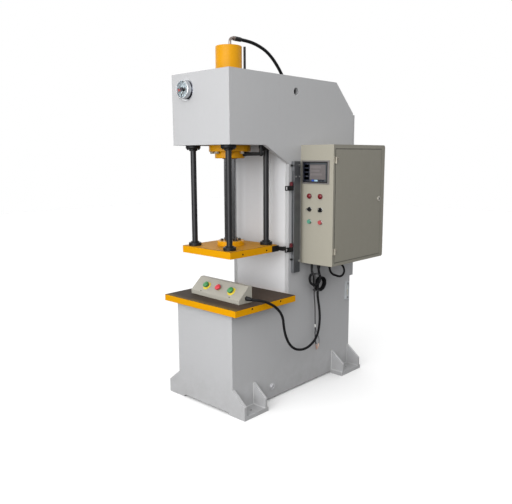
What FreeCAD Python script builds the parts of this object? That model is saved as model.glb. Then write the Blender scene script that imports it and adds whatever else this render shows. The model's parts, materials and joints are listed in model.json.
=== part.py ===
import FreeCAD, Part
import math
import os

# C-frame hydraulic press with four guide columns, a control cabinet on its right
# side and a two-hand control box on its table. Millimetres. X to the right, Y to
# the back, Z up. The layout below is drawn about the ram's axis line (x = 0) and
# the face of the frame's front plates (y = 0), floor at z = 0. save() then moves
# each piece by (-OX, -OY, 0), so that the origin is the bottom centre of the box
# around the whole press without its loose cables.

V = FreeCAD.Vector

# ---------------------------------------------------------------- dimensions
# C-frame
HALF_W = 250.0            # half of the frame's width
T_SIDE = 25.0             # side plates
T_FRONT = 20.0            # front plates
DEPTH = 1225.0            # front face to rear edge
HEAD_TOP = 2058.0
HEAD_BOT = 1634.0
REAR_CUT_Y = 1019.0       # start of the sloped rear top corner
REAR_CUT_Z = 1862.0       # its lower end
THROAT_Y = 520.0          # throat face
THROAT_SLOPE_Y = 303.0    # where the throat's slope meets the head's underside
THROAT_SLOPE_Z = 1519.0
BASE_TOP = 643.0          # underside of the table
SIDE_BOT = 12.0           # side plates stop this far above the floor
LIFT_Y, LIFT_Z, LIFT_R = 588.6, 1966.9, 23.0
LG_Y = 1187.0             # level gauge, from the front plates' face

# feet
FOOT_HALF = 351.5
FOOT_T = 25.0
FOOT_EDGE_H = 86.0
FOOT_APEX = 167.0
FOOT_HOLE_X = 301.0
FOOT_FRONT_Y = 104.0
FOOT_REAR_Y = 1120.0
FOOT_HOLE_R = 9.0

# table
TABLE_X = 326.0
TABLE_Y0, TABLE_Y1 = -43.0, 503.0
TABLE_TOP = 683.0

# cylinder and ram
CYL_Y = 244.0
CYL_R = 81.0
CYL_BORE_R = 62.5
CYL_TOP = 2226.0
CYL_FLANGE_R = 130.0
CYL_FLANGE_Z = 1596.0
GLAND_R = 93.0
GLAND_Z = 1555.0
ROD_R = 38.5
RUN_CLEAR = 0.05          # radial running clearance
PISTON_Z0, PISTON_Z1 = 1758.0, 1818.0

# platen and guide columns
PLATEN_X = 218.0
PLATEN_Y0, PLATEN_Y1 = 27.0, 446.0
PLATEN_Z0, PLATEN_Z1 = 964.0, 1008.0
COL_X = 157.0
COUP_R, COUP_H, COUP_BOLT_R = 86.0, 29.0, 56.0
COL_Y = (80.0, 408.0)
COL_R = 18.0
COL_TOP = 1850.0
BUSH_R = 46.0
BUSH_T = 21.0
BUSH_SLEEVE_R = 27.0
COLLAR_R = 40.0

# pressure gauge
GAUGE_X, GAUGE_Z = -115.0, 1961.0

# cabinet
CAB_X0, CAB_X1 = 250.0, 508.0
CAB_Y0, CAB_Y1 = 642.0, 1241.0
CAB_Z0, CAB_Z1 = 870.0, 1637.0
CAB_T = 2.0
DOOR_Y0, DOOR_Y1 = 665.0, 1192.0
DOOR_Z0, DOOR_Z1 = 895.0, 1607.0
HINGE_X, HINGE_Y = 516.5, 659.0
HINGE_Z = (966.0, 1540.0)
PANEL_COL = (326.0, 413.0)
LAMP_Z, SELECT_Z, PUSH_Z = 1313.0, 1228.0, 1148.0
LENS_R, LENS_NECK_R, SELECT_R, PUSH_R = 16.4, 13.9, 13.2, 13.2
HMI = (261.0, 477.0, 1391.0, 1539.0)

# sensor rail
RAIL_X = 273.0
RAIL_Y0, RAIL_Y1 = 547.0, 608.0
RAIL_Z0, RAIL_Z1 = 815.0, 1534.0
SENSOR_Z = (971.0, 1366.0)

# two-hand control box on the table: corner, turn, length and section
BOX_X, BOX_Y, BOX_TURN = -220.6, 94.6, -2.561
BOX_L = 459.2
BOX_LIP = 26.4
BOX_V1, BOX_V2, BOX_H = 82.3, 108.4, 102.1
BOX_S = 50.0              # buttons, up the slope from the lip
BOX_U = (116.5, 234.0, 351.5)

# cables and hose (diameters)
D_CONDUIT = 17.0
D_SUPPLY = 8.0
D_LOOP = 15.0
D_HOSE = 21.0

# origin
OX, OY = 85.0, 616.0

os.makedirs("parts", exist_ok=True)
SHAPES = {}


# ---------------------------------------------------------------- helpers
def box(x0, x1, y0, y1, z0, z1):
    return Part.makeBox(x1 - x0, y1 - y0, z1 - z0, V(x0, y0, z0))


def cyl(x, y, z, r, h, axis=(0, 0, 1)):
    return Part.makeCylinder(r, h, V(x, y, z), V(*axis))


def cone(x, y, z, r0, r1, h, axis=(0, 0, 1)):
    return Part.makeCone(r0, r1, h, V(x, y, z), V(*axis))


def prism(points, axis, lo, hi):
    """Polygon in the plane across axis, pushed from lo to hi."""
    if axis == "x":
        vs = [V(lo, a, b) for a, b in points]
        d = V(hi - lo, 0, 0)
    elif axis == "y":
        vs = [V(a, lo, b) for a, b in points]
        d = V(0, hi - lo, 0)
    else:
        vs = [V(a, b, lo) for a, b in points]
        d = V(0, 0, hi - lo)
    face = Part.Face(Part.makePolygon(vs + [vs[0]]))
    return face.extrude(d)


def hexagon(x, y, z, across, h, axis="z", turn=0.0):
    r = across / math.sqrt(3.0)
    pts = [(r * math.cos(math.radians(60 * i + turn)), r * math.sin(math.radians(60 * i + turn))) for i in range(6)]
    if axis == "z":
        return prism([(x + a, y + b) for a, b in pts], "z", z, z + h)
    if axis == "y":
        return prism([(x + a, z + b) for a, b in pts], "y", y, y + h)
    return prism([(y + a, z + b) for a, b in pts], "x", x, x + h)


def soften(shape, size, pick):
    """Chamfer the edges that pick() chooses."""
    edges = [e for e in shape.Edges if pick(e)]
    return shape.makeChamfer(size, edges) if edges else shape


def rounded(shape, size, pick):
    edges = [e for e in shape.Edges if pick(e)]
    return shape.makeFillet(size, edges) if edges else shape


def along(e, axis):
    a, b = e.Vertexes[0].Point, e.Vertexes[-1].Point
    d = b.sub(a)
    if d.Length < 1e-6:
        return False
    d.normalize()
    return abs(abs(d.dot(V(*axis))) - 1.0) < 1e-6


def save(name, *shapes):
    parts = []
    for s in shapes:
        parts += s.Solids
    out = parts[0] if len(parts) == 1 else Part.makeCompound(parts)
    out = out.copy()
    out.translate(V(-OX, -OY, 0))
    if not out.isValid():
        print("INVALID", name)
    out.exportStep("parts/%s.step" % name)
    SHAPES[name] = out


def tube_along(points, diameter, label):
    """Round tube along straight runs joined by tangent arcs."""
    pts = [V(*p) for p in points]
    cuts, radii = [], []
    for i in range(1, len(pts) - 1):
        a, b = pts[i].sub(pts[i - 1]), pts[i + 1].sub(pts[i])
        la, lb = a.Length, b.Length
        a.normalize()
        b.normalize()
        turn = math.acos(max(-1.0, min(1.0, a.dot(b))))
        t = 0.45 * min(la, lb)
        radii.append(t / math.tan(turn / 2.0))
        p0 = pts[i].sub(a * t)
        p1 = pts[i].add(b * t)
        bis = b.sub(a)
        bis.normalize()
        centre = pts[i].add(bis * (radii[-1] / math.cos(turn / 2.0)))
        mid = centre.sub(bis * radii[-1])
        cuts.append((p0, mid, p1))
    edges, here, length = [], pts[0], 0.0
    for (p0, mid, p1) in cuts:
        edges.append(Part.LineSegment(here, p0).toShape())
        edges.append(Part.Arc(p0, mid, p1).toShape())
        here = p1
    edges.append(Part.LineSegment(here, pts[-1]).toShape())
    length = sum(e.Length for e in edges)
    path = Part.Wire(edges)
    d = pts[1].sub(pts[0])
    d.normalize()
    ring = Part.Wire([Part.makeCircle(diameter / 2.0, pts[0], d)])
    solid = path.makePipeShell([ring], True, False)
    solid = solid.Solids[0] if solid.Solids else Part.Solid(solid)
    want = math.pi * (diameter / 2.0) ** 2 * length
    print("%s: length %.0f, radii %s, volume ratio %.4f" % (
        label, length, " ".join("%.0f" % r for r in radii), solid.Volume / want))
    return solid


# ---------------------------------------------------------------- frame
side_outline = [
    (T_FRONT, SIDE_BOT), (DEPTH, SIDE_BOT), (DEPTH, REAR_CUT_Z), (REAR_CUT_Y, HEAD_TOP),
    (T_FRONT, HEAD_TOP), (T_FRONT, HEAD_BOT), (THROAT_SLOPE_Y, HEAD_BOT),
    (THROAT_Y, THROAT_SLOPE_Z), (THROAT_Y, BASE_TOP), (T_FRONT, BASE_TOP)]
for name, x0 in (("side_plate_left", -HALF_W), ("side_plate_right", HALF_W - T_SIDE)):
    s = prism(side_outline, "x", x0, x0 + T_SIDE)
    s = s.cut(cyl(x0 - 1, LIFT_Y, LIFT_Z, LIFT_R, T_SIDE + 2, (1, 0, 0)))
    if name == "side_plate_right":
        # drain hole, cable entry, level gauge bolts
        s = s.cut(cyl(x0 - 1, 359.0, 88.0, 16.6, T_SIDE + 2, (1, 0, 0)))
        s = s.cut(cyl(x0 - 1, 1012.0, 822.0, 10.5, T_SIDE + 2, (1, 0, 0)))
        for z in (536.0, 639.0):
            s = s.cut(cyl(x0 - 1, LG_Y, z, 5.1, T_SIDE + 2, (1, 0, 0)))
    save(name, s)

# head: front plate with the gauge's stem hole, bored bottom plate, top plate
s = box(-HALF_W, HALF_W, 0, T_FRONT, HEAD_BOT, HEAD_TOP)
s = s.cut(cyl(GAUGE_X, -1, GAUGE_Z, 8.0, T_FRONT + 2, (0, 1, 0)))
save("head_front_plate", s)

X_IN = HALF_W - T_SIDE
s = box(-X_IN, X_IN, T_FRONT, THROAT_Y, HEAD_BOT, HEAD_BOT + 40)
s = s.cut(cyl(0, CYL_Y, HEAD_BOT - 1, CYL_R + 0.4, 60))
for sx in (-1, 1):
    for y in COL_Y:
        s = s.cut(cyl(sx * COL_X, y, HEAD_BOT - 1, BUSH_SLEEVE_R + 0.15, 60))
for i in range(8):
    a = math.radians(45 * i)
    s = s.cut(cyl(108 * math.cos(a), CYL_Y + 108 * math.sin(a), HEAD_BOT - 1, 8.1, 31))
s = s.cut(cyl(195.0, 321.0, HEAD_BOT - 1, 13.5, 60))
save("head_bottom_plate", s)

# throat plate: upright between the side plates, whose upper corners slope forward past it
T_THROAT = 20.0
save("throat_plate", box(-X_IN, X_IN, THROAT_Y, THROAT_Y + T_THROAT, BASE_TOP, HEAD_BOT + 40))

s = box(-X_IN, X_IN, T_FRONT, REAR_CUT_Y, HEAD_TOP - 20, HEAD_TOP)
s = s.cut(cyl(0, CYL_Y, HEAD_TOP - 21, CYL_R + 0.5, 22))
for sx in (-1, 1):
    for y in COL_Y:
        s = s.cut(cyl(sx * COL_X, y, HEAD_TOP - 21, 25.0, 22))
s = s.cut(cyl(0, 786.0, HEAD_TOP - 21, 27.0, 22))
s = s.cut(cyl(68.5, 313.0, HEAD_TOP - 21, 8.2, 22))
save("head_top_plate", s)

# base: front plate with its flared feet
foot_pts = [
    (-FOOT_HALF, 0), (-210, 0), (-196, 15), (213, 15), (227, 0), (FOOT_HALF, 0),
    (FOOT_HALF, FOOT_EDGE_H), (HALF_W, FOOT_APEX), (HALF_W, BASE_TOP),
    (-HALF_W, BASE_TOP), (-HALF_W, FOOT_APEX), (-FOOT_HALF, FOOT_EDGE_H)]
s = prism(foot_pts, "y", 0, T_FRONT)
save("base_front_plate", s)

# feet: a base plate on each corner, with upright gussets
feet = []
for sx in (-1, 1):
    def bx(x0, x1, y0, y1, z0, z1):
        return box(min(sx * x0, sx * x1), max(sx * x0, sx * x1), y0, y1, z0, z1)

    def gusset(y0, y1):
        pts = [(sx * HALF_W, FOOT_T), (sx * FOOT_HALF, FOOT_T), (sx * FOOT_HALF, FOOT_EDGE_H), (sx * HALF_W, FOOT_APEX)]
        return prism(pts, "y", y0, y1)
    p = bx(HALF_W, FOOT_HALF, T_FRONT, 212, 0, FOOT_T)
    p = p.cut(cyl(sx * FOOT_HOLE_X, FOOT_FRONT_Y, -1, FOOT_HOLE_R, FOOT_T + 2))
    feet.append(p)
    feet.append(gusset(184, 200))
    p = bx(HALF_W, FOOT_HALF, 1002, 1237, 0, FOOT_T)
    p = p.cut(cyl(sx * FOOT_HOLE_X, FOOT_REAR_Y, -1, FOOT_HOLE_R, FOOT_T + 2))
    feet.append(p)
    feet.append(gusset(1012, 1028))
    feet.append(gusset(1209, 1225))
save("feet", *feet)

# oil tank in the base: deck (also carries the table) and floor
deck = box(-X_IN, X_IN, T_FRONT, DEPTH - 16, BASE_TOP - 25, BASE_TOP)
deck = deck.cut(cyl(0, 880, BASE_TOP - 30, 31.0, 40))
tank_floor = box(-X_IN, X_IN, T_FRONT, DEPTH - 16, 40, 52)
save("tank_plates", deck, tank_floor)

# rear plates: lower one closes the tank, upper one is bent along the slope
lower_rear = box(-X_IN, X_IN, DEPTH - 16, DEPTH, SIDE_BOT, 690)
w = V(0, DEPTH - REAR_CUT_Y, REAR_CUT_Z - HEAD_TOP)
w.normalize()
m_in = V(0, w.z, -w.y)


def rear_z(y):
    p = V(0, REAR_CUT_Y, HEAD_TOP).add(m_in * 16.0)
    return p.z + (y - p.y) * w.z / w.y


upper_rear = prism([
    (REAR_CUT_Y, HEAD_TOP), (DEPTH, REAR_CUT_Z), (DEPTH, 1600), (DEPTH - 16, 1600),
    (DEPTH - 16, rear_z(DEPTH - 16)), (REAR_CUT_Y, rear_z(REAR_CUT_Y))], "x", -X_IN, X_IN)
# upright strip that stands out behind the side plates, above the cover
rear_strip = box(-247, 247, DEPTH, DEPTH + 24, 1600, 1852)
save("rear_plates", lower_rear, upper_rear, rear_strip)

# rear cover: a shallow folded pan over the motor space
outer = box(-247, 247, DEPTH, 1275, 692, 1598)
outer = rounded(outer, 8.0, lambda e: e.BoundBox.YMin > 1274.9)
inner = box(-244, 244, DEPTH - 1, 1272, 695, 1595)
cover = outer.cut(inner)
save("rear_cover", cover)

# table, with two tapped holes in each side edge
table = box(-TABLE_X, TABLE_X, TABLE_Y0, TABLE_Y1, BASE_TOP, TABLE_TOP)
table = soften(table, 2.0, lambda e: e.BoundBox.ZMin > TABLE_TOP - 0.01 or along(e, (0, 0, 1)))
for sx in (-1, 1):
    for y in (98.0, 356.0):
        x0 = TABLE_X - 26 if sx > 0 else -TABLE_X - 1
        table = table.cut(cyl(x0, y, 670.0, 6.5, 27, (1, 0, 0)))
save("work_table", table)

# ---------------------------------------------------------------- cylinder
body = cyl(0, CYL_Y, CYL_FLANGE_Z, CYL_R, CYL_TOP - CYL_FLANGE_Z)
body = body.fuse(cyl(0, CYL_Y, CYL_FLANGE_Z, CYL_FLANGE_R, HEAD_BOT - CYL_FLANGE_Z))
body = body.cut(cyl(0, CYL_Y, CYL_FLANGE_Z - 1, CYL_BORE_R, CYL_TOP - 30 - CYL_FLANGE_Z + 1))
body = body.cut(cyl(0, 256.0, CYL_TOP - 31, 7.0, 32))
for i in range(8):
    a = math.radians(45 * i)
    body = body.cut(cyl(108 * math.cos(a), CYL_Y + 108 * math.sin(a), CYL_FLANGE_Z - 1, 8.6, 60))
body = body.removeSplitter()
body = soften(body, 3.0, lambda e: abs(e.BoundBox.ZMin - CYL_TOP) < 0.01 and abs(e.BoundBox.ZMax - CYL_TOP) < 0.01 and e.BoundBox.XLength > 100)
body = soften(body, 2.0, lambda e: abs(e.BoundBox.ZMin - CYL_FLANGE_Z) < 0.01 and abs(e.BoundBox.ZMax - CYL_FLANGE_Z) < 0.01 and e.BoundBox.XLength > 200)
save("cylinder_barrel", body)

gland = cyl(0, CYL_Y, GLAND_Z, GLAND_R, CYL_FLANGE_Z - GLAND_Z)
gland = soften(gland, 4.0, lambda e: e.BoundBox.ZMax < GLAND_Z + 0.01 and e.BoundBox.XLength > 100)
gland = gland.cut(cyl(0, CYL_Y, GLAND_Z - 1, ROD_R + RUN_CLEAR, 60))
for i in range(6):
    a = math.radians(50 + 60 * i)
    gland = gland.cut(cyl(68 * math.cos(a), CYL_Y + 68 * math.sin(a), GLAND_Z - 1, 5.6, 60))
    gland = gland.cut(cyl(68 * math.cos(a), CYL_Y + 68 * math.sin(a), GLAND_Z - 1, 8.4, 10.5))
gland = gland.cut(cyl(0, CYL_Y, 1581.0, 6.0, 120, (195.0, 77.0, 0)))
save("gland_flange", gland)

# flange bolts with hexagon heads and washers, gland cap screws
bolts = []
for i in range(8):
    a = math.radians(45 * i)
    x, y = 108 * math.cos(a), CYL_Y + 108 * math.sin(a)
    b = cyl(x, y, CYL_FLANGE_Z - 3, 8.0, HEAD_BOT + 30 - CYL_FLANGE_Z + 3)
    b = b.fuse(cyl(x, y, CYL_FLANGE_Z - 3, 15.0, 3))
    b = b.fuse(hexagon(x, y, CYL_FLANGE_Z - 13, 24.0, 10))
    bolts.append(b)
for i in range(6):
    a = math.radians(50 + 60 * i)
    x, y = 68 * math.cos(a), CYL_Y + 68 * math.sin(a)
    b = cyl(x, y, GLAND_Z + 0.5, 8.0, 9.0)
    b = b.fuse(cyl(x, y, GLAND_Z + 9.0, 5.0, CYL_FLANGE_Z - GLAND_Z - 10))
    b = b.cut(hexagon(x, y, GLAND_Z - 0.5, 8.0, 6))
    bolts.append(b)
save("cylinder_bolts", *bolts)

# guide bushes: flange below the head, sleeve through its bottom plate
bushes = []
for sx in (-1, 1):
    for y in COL_Y:
        b = cyl(sx * COL_X, y, HEAD_BOT - BUSH_T, BUSH_R, BUSH_T)
        b = soften(b, 5.0, lambda e: e.BoundBox.ZMax < HEAD_BOT - BUSH_T + 0.1 and e.BoundBox.XLength > 60)
        b = b.fuse(cyl(sx * COL_X, y, HEAD_BOT - BUSH_T - 9, BUSH_SLEEVE_R, 108))
        b = b.cut(cyl(sx * COL_X, y, HEAD_BOT - 40, COL_R + RUN_CLEAR, 160))
        bushes.append(b.removeSplitter())
save("guide_bushes", *bushes)

# ---------------------------------------------------------------- hydraulic fittings
# top port: adaptor, elbow and hose ferrule
HZ = 2279.0
f1 = hexagon(0, 256.0, CYL_TOP, 27.0, 14)
f1 = f1.fuse(cyl(0, 256.0, CYL_TOP - 20, 6.9, 20))
f1 = f1.fuse(cyl(0, 256.0, CYL_TOP + 14, 8.5, 10))
arc_r = 22.0
elb = Part.Wire([
    Part.LineSegment(V(0, 256, CYL_TOP + 24), V(0, 256, HZ - arc_r)).toShape(),
    Part.Arc(V(0, 256, HZ - arc_r), V(0, 256 + arc_r * (1 - math.cos(math.pi / 4)), HZ - arc_r + arc_r * math.sin(math.pi / 4)),
             V(0, 256 + arc_r, HZ)).toShape(),
    Part.LineSegment(V(0, 256 + arc_r, HZ), V(0, 290, HZ)).toShape()])
start = elb.Edges[0].Vertexes[0].Point
el = elb.makePipeShell([Part.Wire([Part.makeCircle(8.5, start, V(0, 0, 1))])], True, False)
el = el.Solids[0] if el.Solids else Part.Solid(el)
f1 = f1.fuse(el)
f1 = f1.fuse(hexagon(0, 284.0, HZ, 24.0, 12, "y"))
f1 = f1.fuse(cyl(0, 296.0, HZ, 13.5, 52, (0, 1, 0)))
f1 = f1.removeSplitter()
# rod-side port: stub from the gland, elbow, riser through the head's bottom plate
ang = math.atan2(77.0, 195.0)
ca, sa = math.cos(ang), math.sin(ang)
R0 = GLAND_R - 3.0
R1 = math.hypot(195.0, 77.0)
st = cyl(R0 * ca, CYL_Y + R0 * sa, 1581.0, 14.0, 18, (ca, sa, 0))
st = st.cut(cyl(0, CYL_Y, 1500, GLAND_R + 0.05, 120))
st = st.fuse(cyl((R0 + 18) * ca, CYL_Y + (R0 + 18) * sa, 1581.0, 11.0, R1 - R0 - 18, (ca, sa, 0)))
st = st.fuse(Part.makeSphere(14.0, V(195.0, 321.0, 1581.0)))
st = st.fuse(cyl(195.0, 321.0, 1581.0, 11.0, 150))
# breather pipe beside the barrel
br = cyl(68.5, 313.0, HEAD_TOP - 60, 7.5, 226.0)
save("hydraulic_fittings", f1, st, br)

# ---------------------------------------------------------------- pressure gauge (axis along Y)
case = cyl(GAUGE_X, -4, GAUGE_Z, 65, 4, (0, 1, 0))
case = case.fuse(cyl(GAUGE_X, -36, GAUGE_Z, 56, 32, (0, 1, 0)))
case = rounded(case, 2.5, lambda e: e.BoundBox.YMax < -35.9)
case = case.cut(cyl(GAUGE_X, -37, GAUGE_Z, 49, 5, (0, 1, 0)))
case = case.cut(cyl(GAUGE_X, -33, GAUGE_Z, 52, 23, (0, 1, 0)))
case = case.cut(cyl(GAUGE_X, -37, GAUGE_Z, 49, 20, (0, 1, 0)))
case = case.fuse(cyl(GAUGE_X, -4, GAUGE_Z, 7.8, 60, (0, 1, 0)))
case = case.cut(cyl(GAUGE_X, -10.5, GAUGE_Z, 2.65, 3.5, (0, 1, 0)))
dial = cyl(GAUGE_X, -11.2, GAUGE_Z, 51.5, 1.2, (0, 1, 0))
dial = dial.cut(cyl(GAUGE_X, -12, GAUGE_Z, 3.0, 3, (0, 1, 0)))
save("gauge_case", case, dial)
glass = cyl(GAUGE_X, -32.5, GAUGE_Z, 51.5, 2.5, (0, 1, 0))
glass = glass.cut(cyl(GAUGE_X, -34, GAUGE_Z, 3.1, 6, (0, 1, 0)))
save("gauge_glass", glass)


def needle(y0, y1, r_hub, length, tail, width, deg):
    """Needle about the gauge's axis. deg is clockwise from straight up, seen from the front."""
    pts = [(-width / 2, -tail), (width / 2, -tail), (width / 2.2, length * 0.7), (0.4, length), (-0.4, length), (-width / 2.2, length * 0.7)]
    a = math.radians(deg)
    q = [(GAUGE_X + px * math.cos(a) + pz * math.sin(a), GAUGE_Z - px * math.sin(a) + pz * math.cos(a)) for px, pz in pts]
    blade = prism(q, "y", y0, y1)
    return blade.fuse(cyl(GAUGE_X, y0, GAUGE_Z, r_hub, y1 - y0, (0, 1, 0)))


ptr = needle(-16.5, -15.0, 7.0, 44.0, 14.0, 5.0, -135.0)
ptr = ptr.fuse(cyl(GAUGE_X, -17.5, GAUGE_Z, 4.0, 4, (0, 1, 0)))
ptr = ptr.fuse(cyl(GAUGE_X, -15.5, GAUGE_Z, 2.6, 7.0, (0, 1, 0)))
save("gauge_pointer", ptr)
setp = needle(-23.5, -22.0, 6.0, 40.0, 0.0, 6.0, -100.0)
setp = setp.fuse(cyl(GAUGE_X, -34, GAUGE_Z, 2.9, 13, (0, 1, 0)))
setp = setp.fuse(cyl(GAUGE_X, -41.0, GAUGE_Z, 12.0, 7.5, (0, 1, 0)))
setp = setp.fuse(box(GAUGE_X - 11, GAUGE_X + 11, -42.8, -41.0, GAUGE_Z - 2.5, GAUGE_Z + 2.5))
save("gauge_set_pointer", setp)

# ---------------------------------------------------------------- tank trim
lg = box(250, 261, LG_Y - 22, LG_Y + 22, 520, 655)
lg = rounded(lg, 4.0, lambda e: along(e, (1, 0, 0)))
lg = lg.cut(box(256, 263, LG_Y - 9, LG_Y + 9, 552, 623))
bolt_l = [cyl(240, LG_Y, z, 5.0, 24, (1, 0, 0)).fuse(cyl(261, LG_Y, z, 8.0, 4, (1, 0, 0))) for z in (536.0, 639.0)]
for z in (536.0, 639.0):
    lg = lg.cut(cyl(249, LG_Y, z, 5.2, 22, (1, 0, 0)))
save("level_gauge", lg, *bolt_l)
dp = cyl(228, 359, 88, 16.5, 22, (1, 0, 0)).fuse(cyl(250, 359, 88, 22.0, 5, (1, 0, 0)))
dp = dp.fuse(cyl(255, 359, 88, 15.0, 5, (1, 0, 0)))
dp = dp.cut(hexagon(252, 359, 88, 14.0, 10, "x"))
save("drain_plug", dp)

# ---------------------------------------------------------------- sensor rail (channel on the side plate)
rail = box(HALF_W, RAIL_X, RAIL_Y0, RAIL_Y1, RAIL_Z0, RAIL_Z1)
rail = rail.cut(box(HALF_W - 1, RAIL_X - 4, RAIL_Y0 + 4, RAIL_Y1 - 4, RAIL_Z0 - 1, RAIL_Z1 + 1))
# long slot in the front flange for the sensor clamps
rail = rail.cut(box(258, 266, RAIL_Y0 - 1, RAIL_Y0 + 5, 935, 1480))
rail_holes = [(596.0, 1508.0), (596.0, 890.0), (564.0, 1437.5), (599.0, 1437.5)]
for y, z in rail_holes:
    rail = rail.cut(cyl(RAIL_X - 5, y, z, 4.2 if z != 1437.5 else 3.2, 6, (1, 0, 0)))
for z in (1508.5, 904.5):
    rail = rail.cut(cyl(259, RAIL_Y0 - 1, z, 4.2, 6, (0, 1, 0)))
save("sensor_rail", rail)
rb = []
for y, z in rail_holes:
    if z != 1437.5:
        rb.append(cyl(RAIL_X - 8, y, z, 4.0, 8, (1, 0, 0)).fuse(hexagon(RAIL_X, y, z, 13.0, 6, "x")))
    else:
        rb.append(cyl(RAIL_X - 7, y, z, 3.0, 7, (1, 0, 0)).fuse(cyl(RAIL_X, y, z, 5.0, 3, (1, 0, 0))))
for z in (1508.5, 904.5):
    rb.append(cyl(259, RAIL_Y0 - 4, z, 4.0, 12, (0, 1, 0)).fuse(hexagon(259, RAIL_Y0 - 14, z, 13.0, 10, "y")))
save("rail_bolts", *rb)


# switch sensors: bracket with a square eye, clamp stud, knob
def sensor(zc):
    br_ = box(256, 268, 504, 546.8, zc - 15, zc + 15).fuse(box(256, 260.5, 476, 505, zc - 15, zc + 15))
    br_ = br_.cut(box(250, 275, 482, 499, zc - 9, zc + 9))
    stud = cyl(262, 546.0, zc, 3.9, 14, (0, 1, 0))
    nut = box(256.5, 268.5, 551.2, 557.0, zc - 8, zc + 8)
    br_ = br_.fuse(stud).fuse(nut)
    knob = cyl(262, 532, zc + 15, 11, 20).fuse(cyl(262, 532, zc + 35, 8, 5))
    return br_, knob


for name, zc in (("lower_sensor", SENSOR_Z[0]), ("upper_sensor", SENSOR_Z[1])):
    b, k = sensor(zc)
    save(name, b, k)

# ---------------------------------------------------------------- control cabinet
shell = box(CAB_X0, CAB_X1, CAB_Y0, CAB_Y1, CAB_Z0, CAB_Z1)
shell = rounded(shell, 17.0, lambda e: along(e, (1, 0, 0)) and e.BoundBox.YMin > CAB_Y1 - 0.1)
room = box(CAB_X0 + CAB_T, CAB_X1 - CAB_T, CAB_Y0 + CAB_T, CAB_Y1 - CAB_T, CAB_Z0 + CAB_T, CAB_Z1 - CAB_T)
room = rounded(room, 15.0, lambda e: along(e, (1, 0, 0)) and e.BoundBox.YMin > CAB_Y1 - CAB_T - 0.1)
shell = shell.cut(room)
shell = shell.cut(box(CAB_X1 - 3, CAB_X1 + 1, DOOR_Y0 + 15, DOOR_Y1 - 6, DOOR_Z0 + 15, DOOR_Z1 - 15))
# openings in its front wall for the panel and the switches
shell = shell.cut(box(HMI[0] + 9, HMI[1] - 9, CAB_Y0 - 1, CAB_Y0 + 3, HMI[2] + 9, HMI[3] - 9))
for x in PANEL_COL:
    for z in (LAMP_Z, SELECT_Z, PUSH_Z):
        shell = shell.cut(cyl(x, CAB_Y0 - 1, z, 11.2, 4, (0, 1, 0)))
# gland holes in the bottom
GLANDS = [(285.0, 722.0), (306.0, 770.0), (352.0, 831.0)]
GLAND_HOLE = (7.0, 12.6, 10.6)
for (x, y), r in zip(GLANDS, GLAND_HOLE):
    shell = shell.cut(cyl(x, y, CAB_Z0 - 1, r, 4))
save("control_cabinet", shell)

door = box(CAB_X1 + 1.0, CAB_X1 + 3.0, DOOR_Y0, DOOR_Y1, DOOR_Z0, DOOR_Z1)
rim = box(CAB_X1 - 13, CAB_X1 + 1.0, DOOR_Y0 + 28, DOOR_Y1 - 18, DOOR_Z0 + 19, DOOR_Z1 - 19)
rim = rim.cut(box(CAB_X1 - 14, CAB_X1 + 2, DOOR_Y0 + 30, DOOR_Y1 - 20, DOOR_Z0 + 21, DOOR_Z1 - 21))
door = door.fuse(rim)
LOCK_Y, LOCK_Z = 1168.5, 1276.0
door = door.cut(cyl(CAB_X1 - 20, LOCK_Y, LOCK_Z, 8.0 + RUN_CLEAR, 30, (1, 0, 0)))
save("cabinet_door", door)

fixed, moving = [], []
for zc in HINGE_Z:
    lo, hi = zc - 20, zc + 20
    leaf = box(CAB_X1, CAB_X1 + 3.0, CAB_Y0 + 3, HINGE_Y, lo, hi)
    k = cyl(HINGE_X, HINGE_Y, lo, 5.0, 19.8)
    web = box(CAB_X1 + 1.0, HINGE_X, HINGE_Y - 5, HINGE_Y - 1, lo, lo + 19.8)
    fx = leaf.fuse(web).fuse(k)
    fx = fx.cut(cyl(HINGE_X, HINGE_Y, zc - 0.2, 6.0, 21))
    pin = cyl(HINGE_X, HINGE_Y, lo - 1, 2.5, 42)
    fx = fx.fuse(pin)
    fixed.append(fx.removeSplitter())
    k = cyl(HINGE_X, HINGE_Y, zc + 0.2, 5.0, 19.8)
    leaf = box(CAB_X1 + 3.0, CAB_X1 + 5.0, HINGE_Y + 3.5, DOOR_Y0 + 25, zc + 0.2, hi)
    web = box(CAB_X1 + 3.0, HINGE_X, HINGE_Y + 1.5, HINGE_Y + 4.5, zc + 0.2, hi)
    mv = leaf.fuse(web).fuse(k)
    mv = mv.cut(cyl(HINGE_X, HINGE_Y, lo - 2, 2.5 + RUN_CLEAR, 46))
    moving.append(mv.removeSplitter())
save("cabinet_hinges", *fixed)
save("door_hinge_leaves", *moving)

# cam lock in the door: turning barrel and its cam, which stands upright (open) at
# rest and goes behind the cabinet's edge when it is turned
lock = cyl(CAB_X1 - 18, LOCK_Y, LOCK_Z, 8.0, 22, (1, 0, 0))
lock = lock.fuse(cyl(CAB_X1 + 3.1, LOCK_Y, LOCK_Z, 15.0, 5, (1, 0, 0)))
lock = lock.cut(box(CAB_X1 + 6, CAB_X1 + 10, LOCK_Y - 1.5, LOCK_Y + 1.5, LOCK_Z - 6, LOCK_Z + 6))
lock = lock.fuse(box(CAB_X1 - 21, CAB_X1 - 18, LOCK_Y - 9, LOCK_Y + 9, LOCK_Z - 10, LOCK_Z + 40))
save("door_lock", lock)

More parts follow.
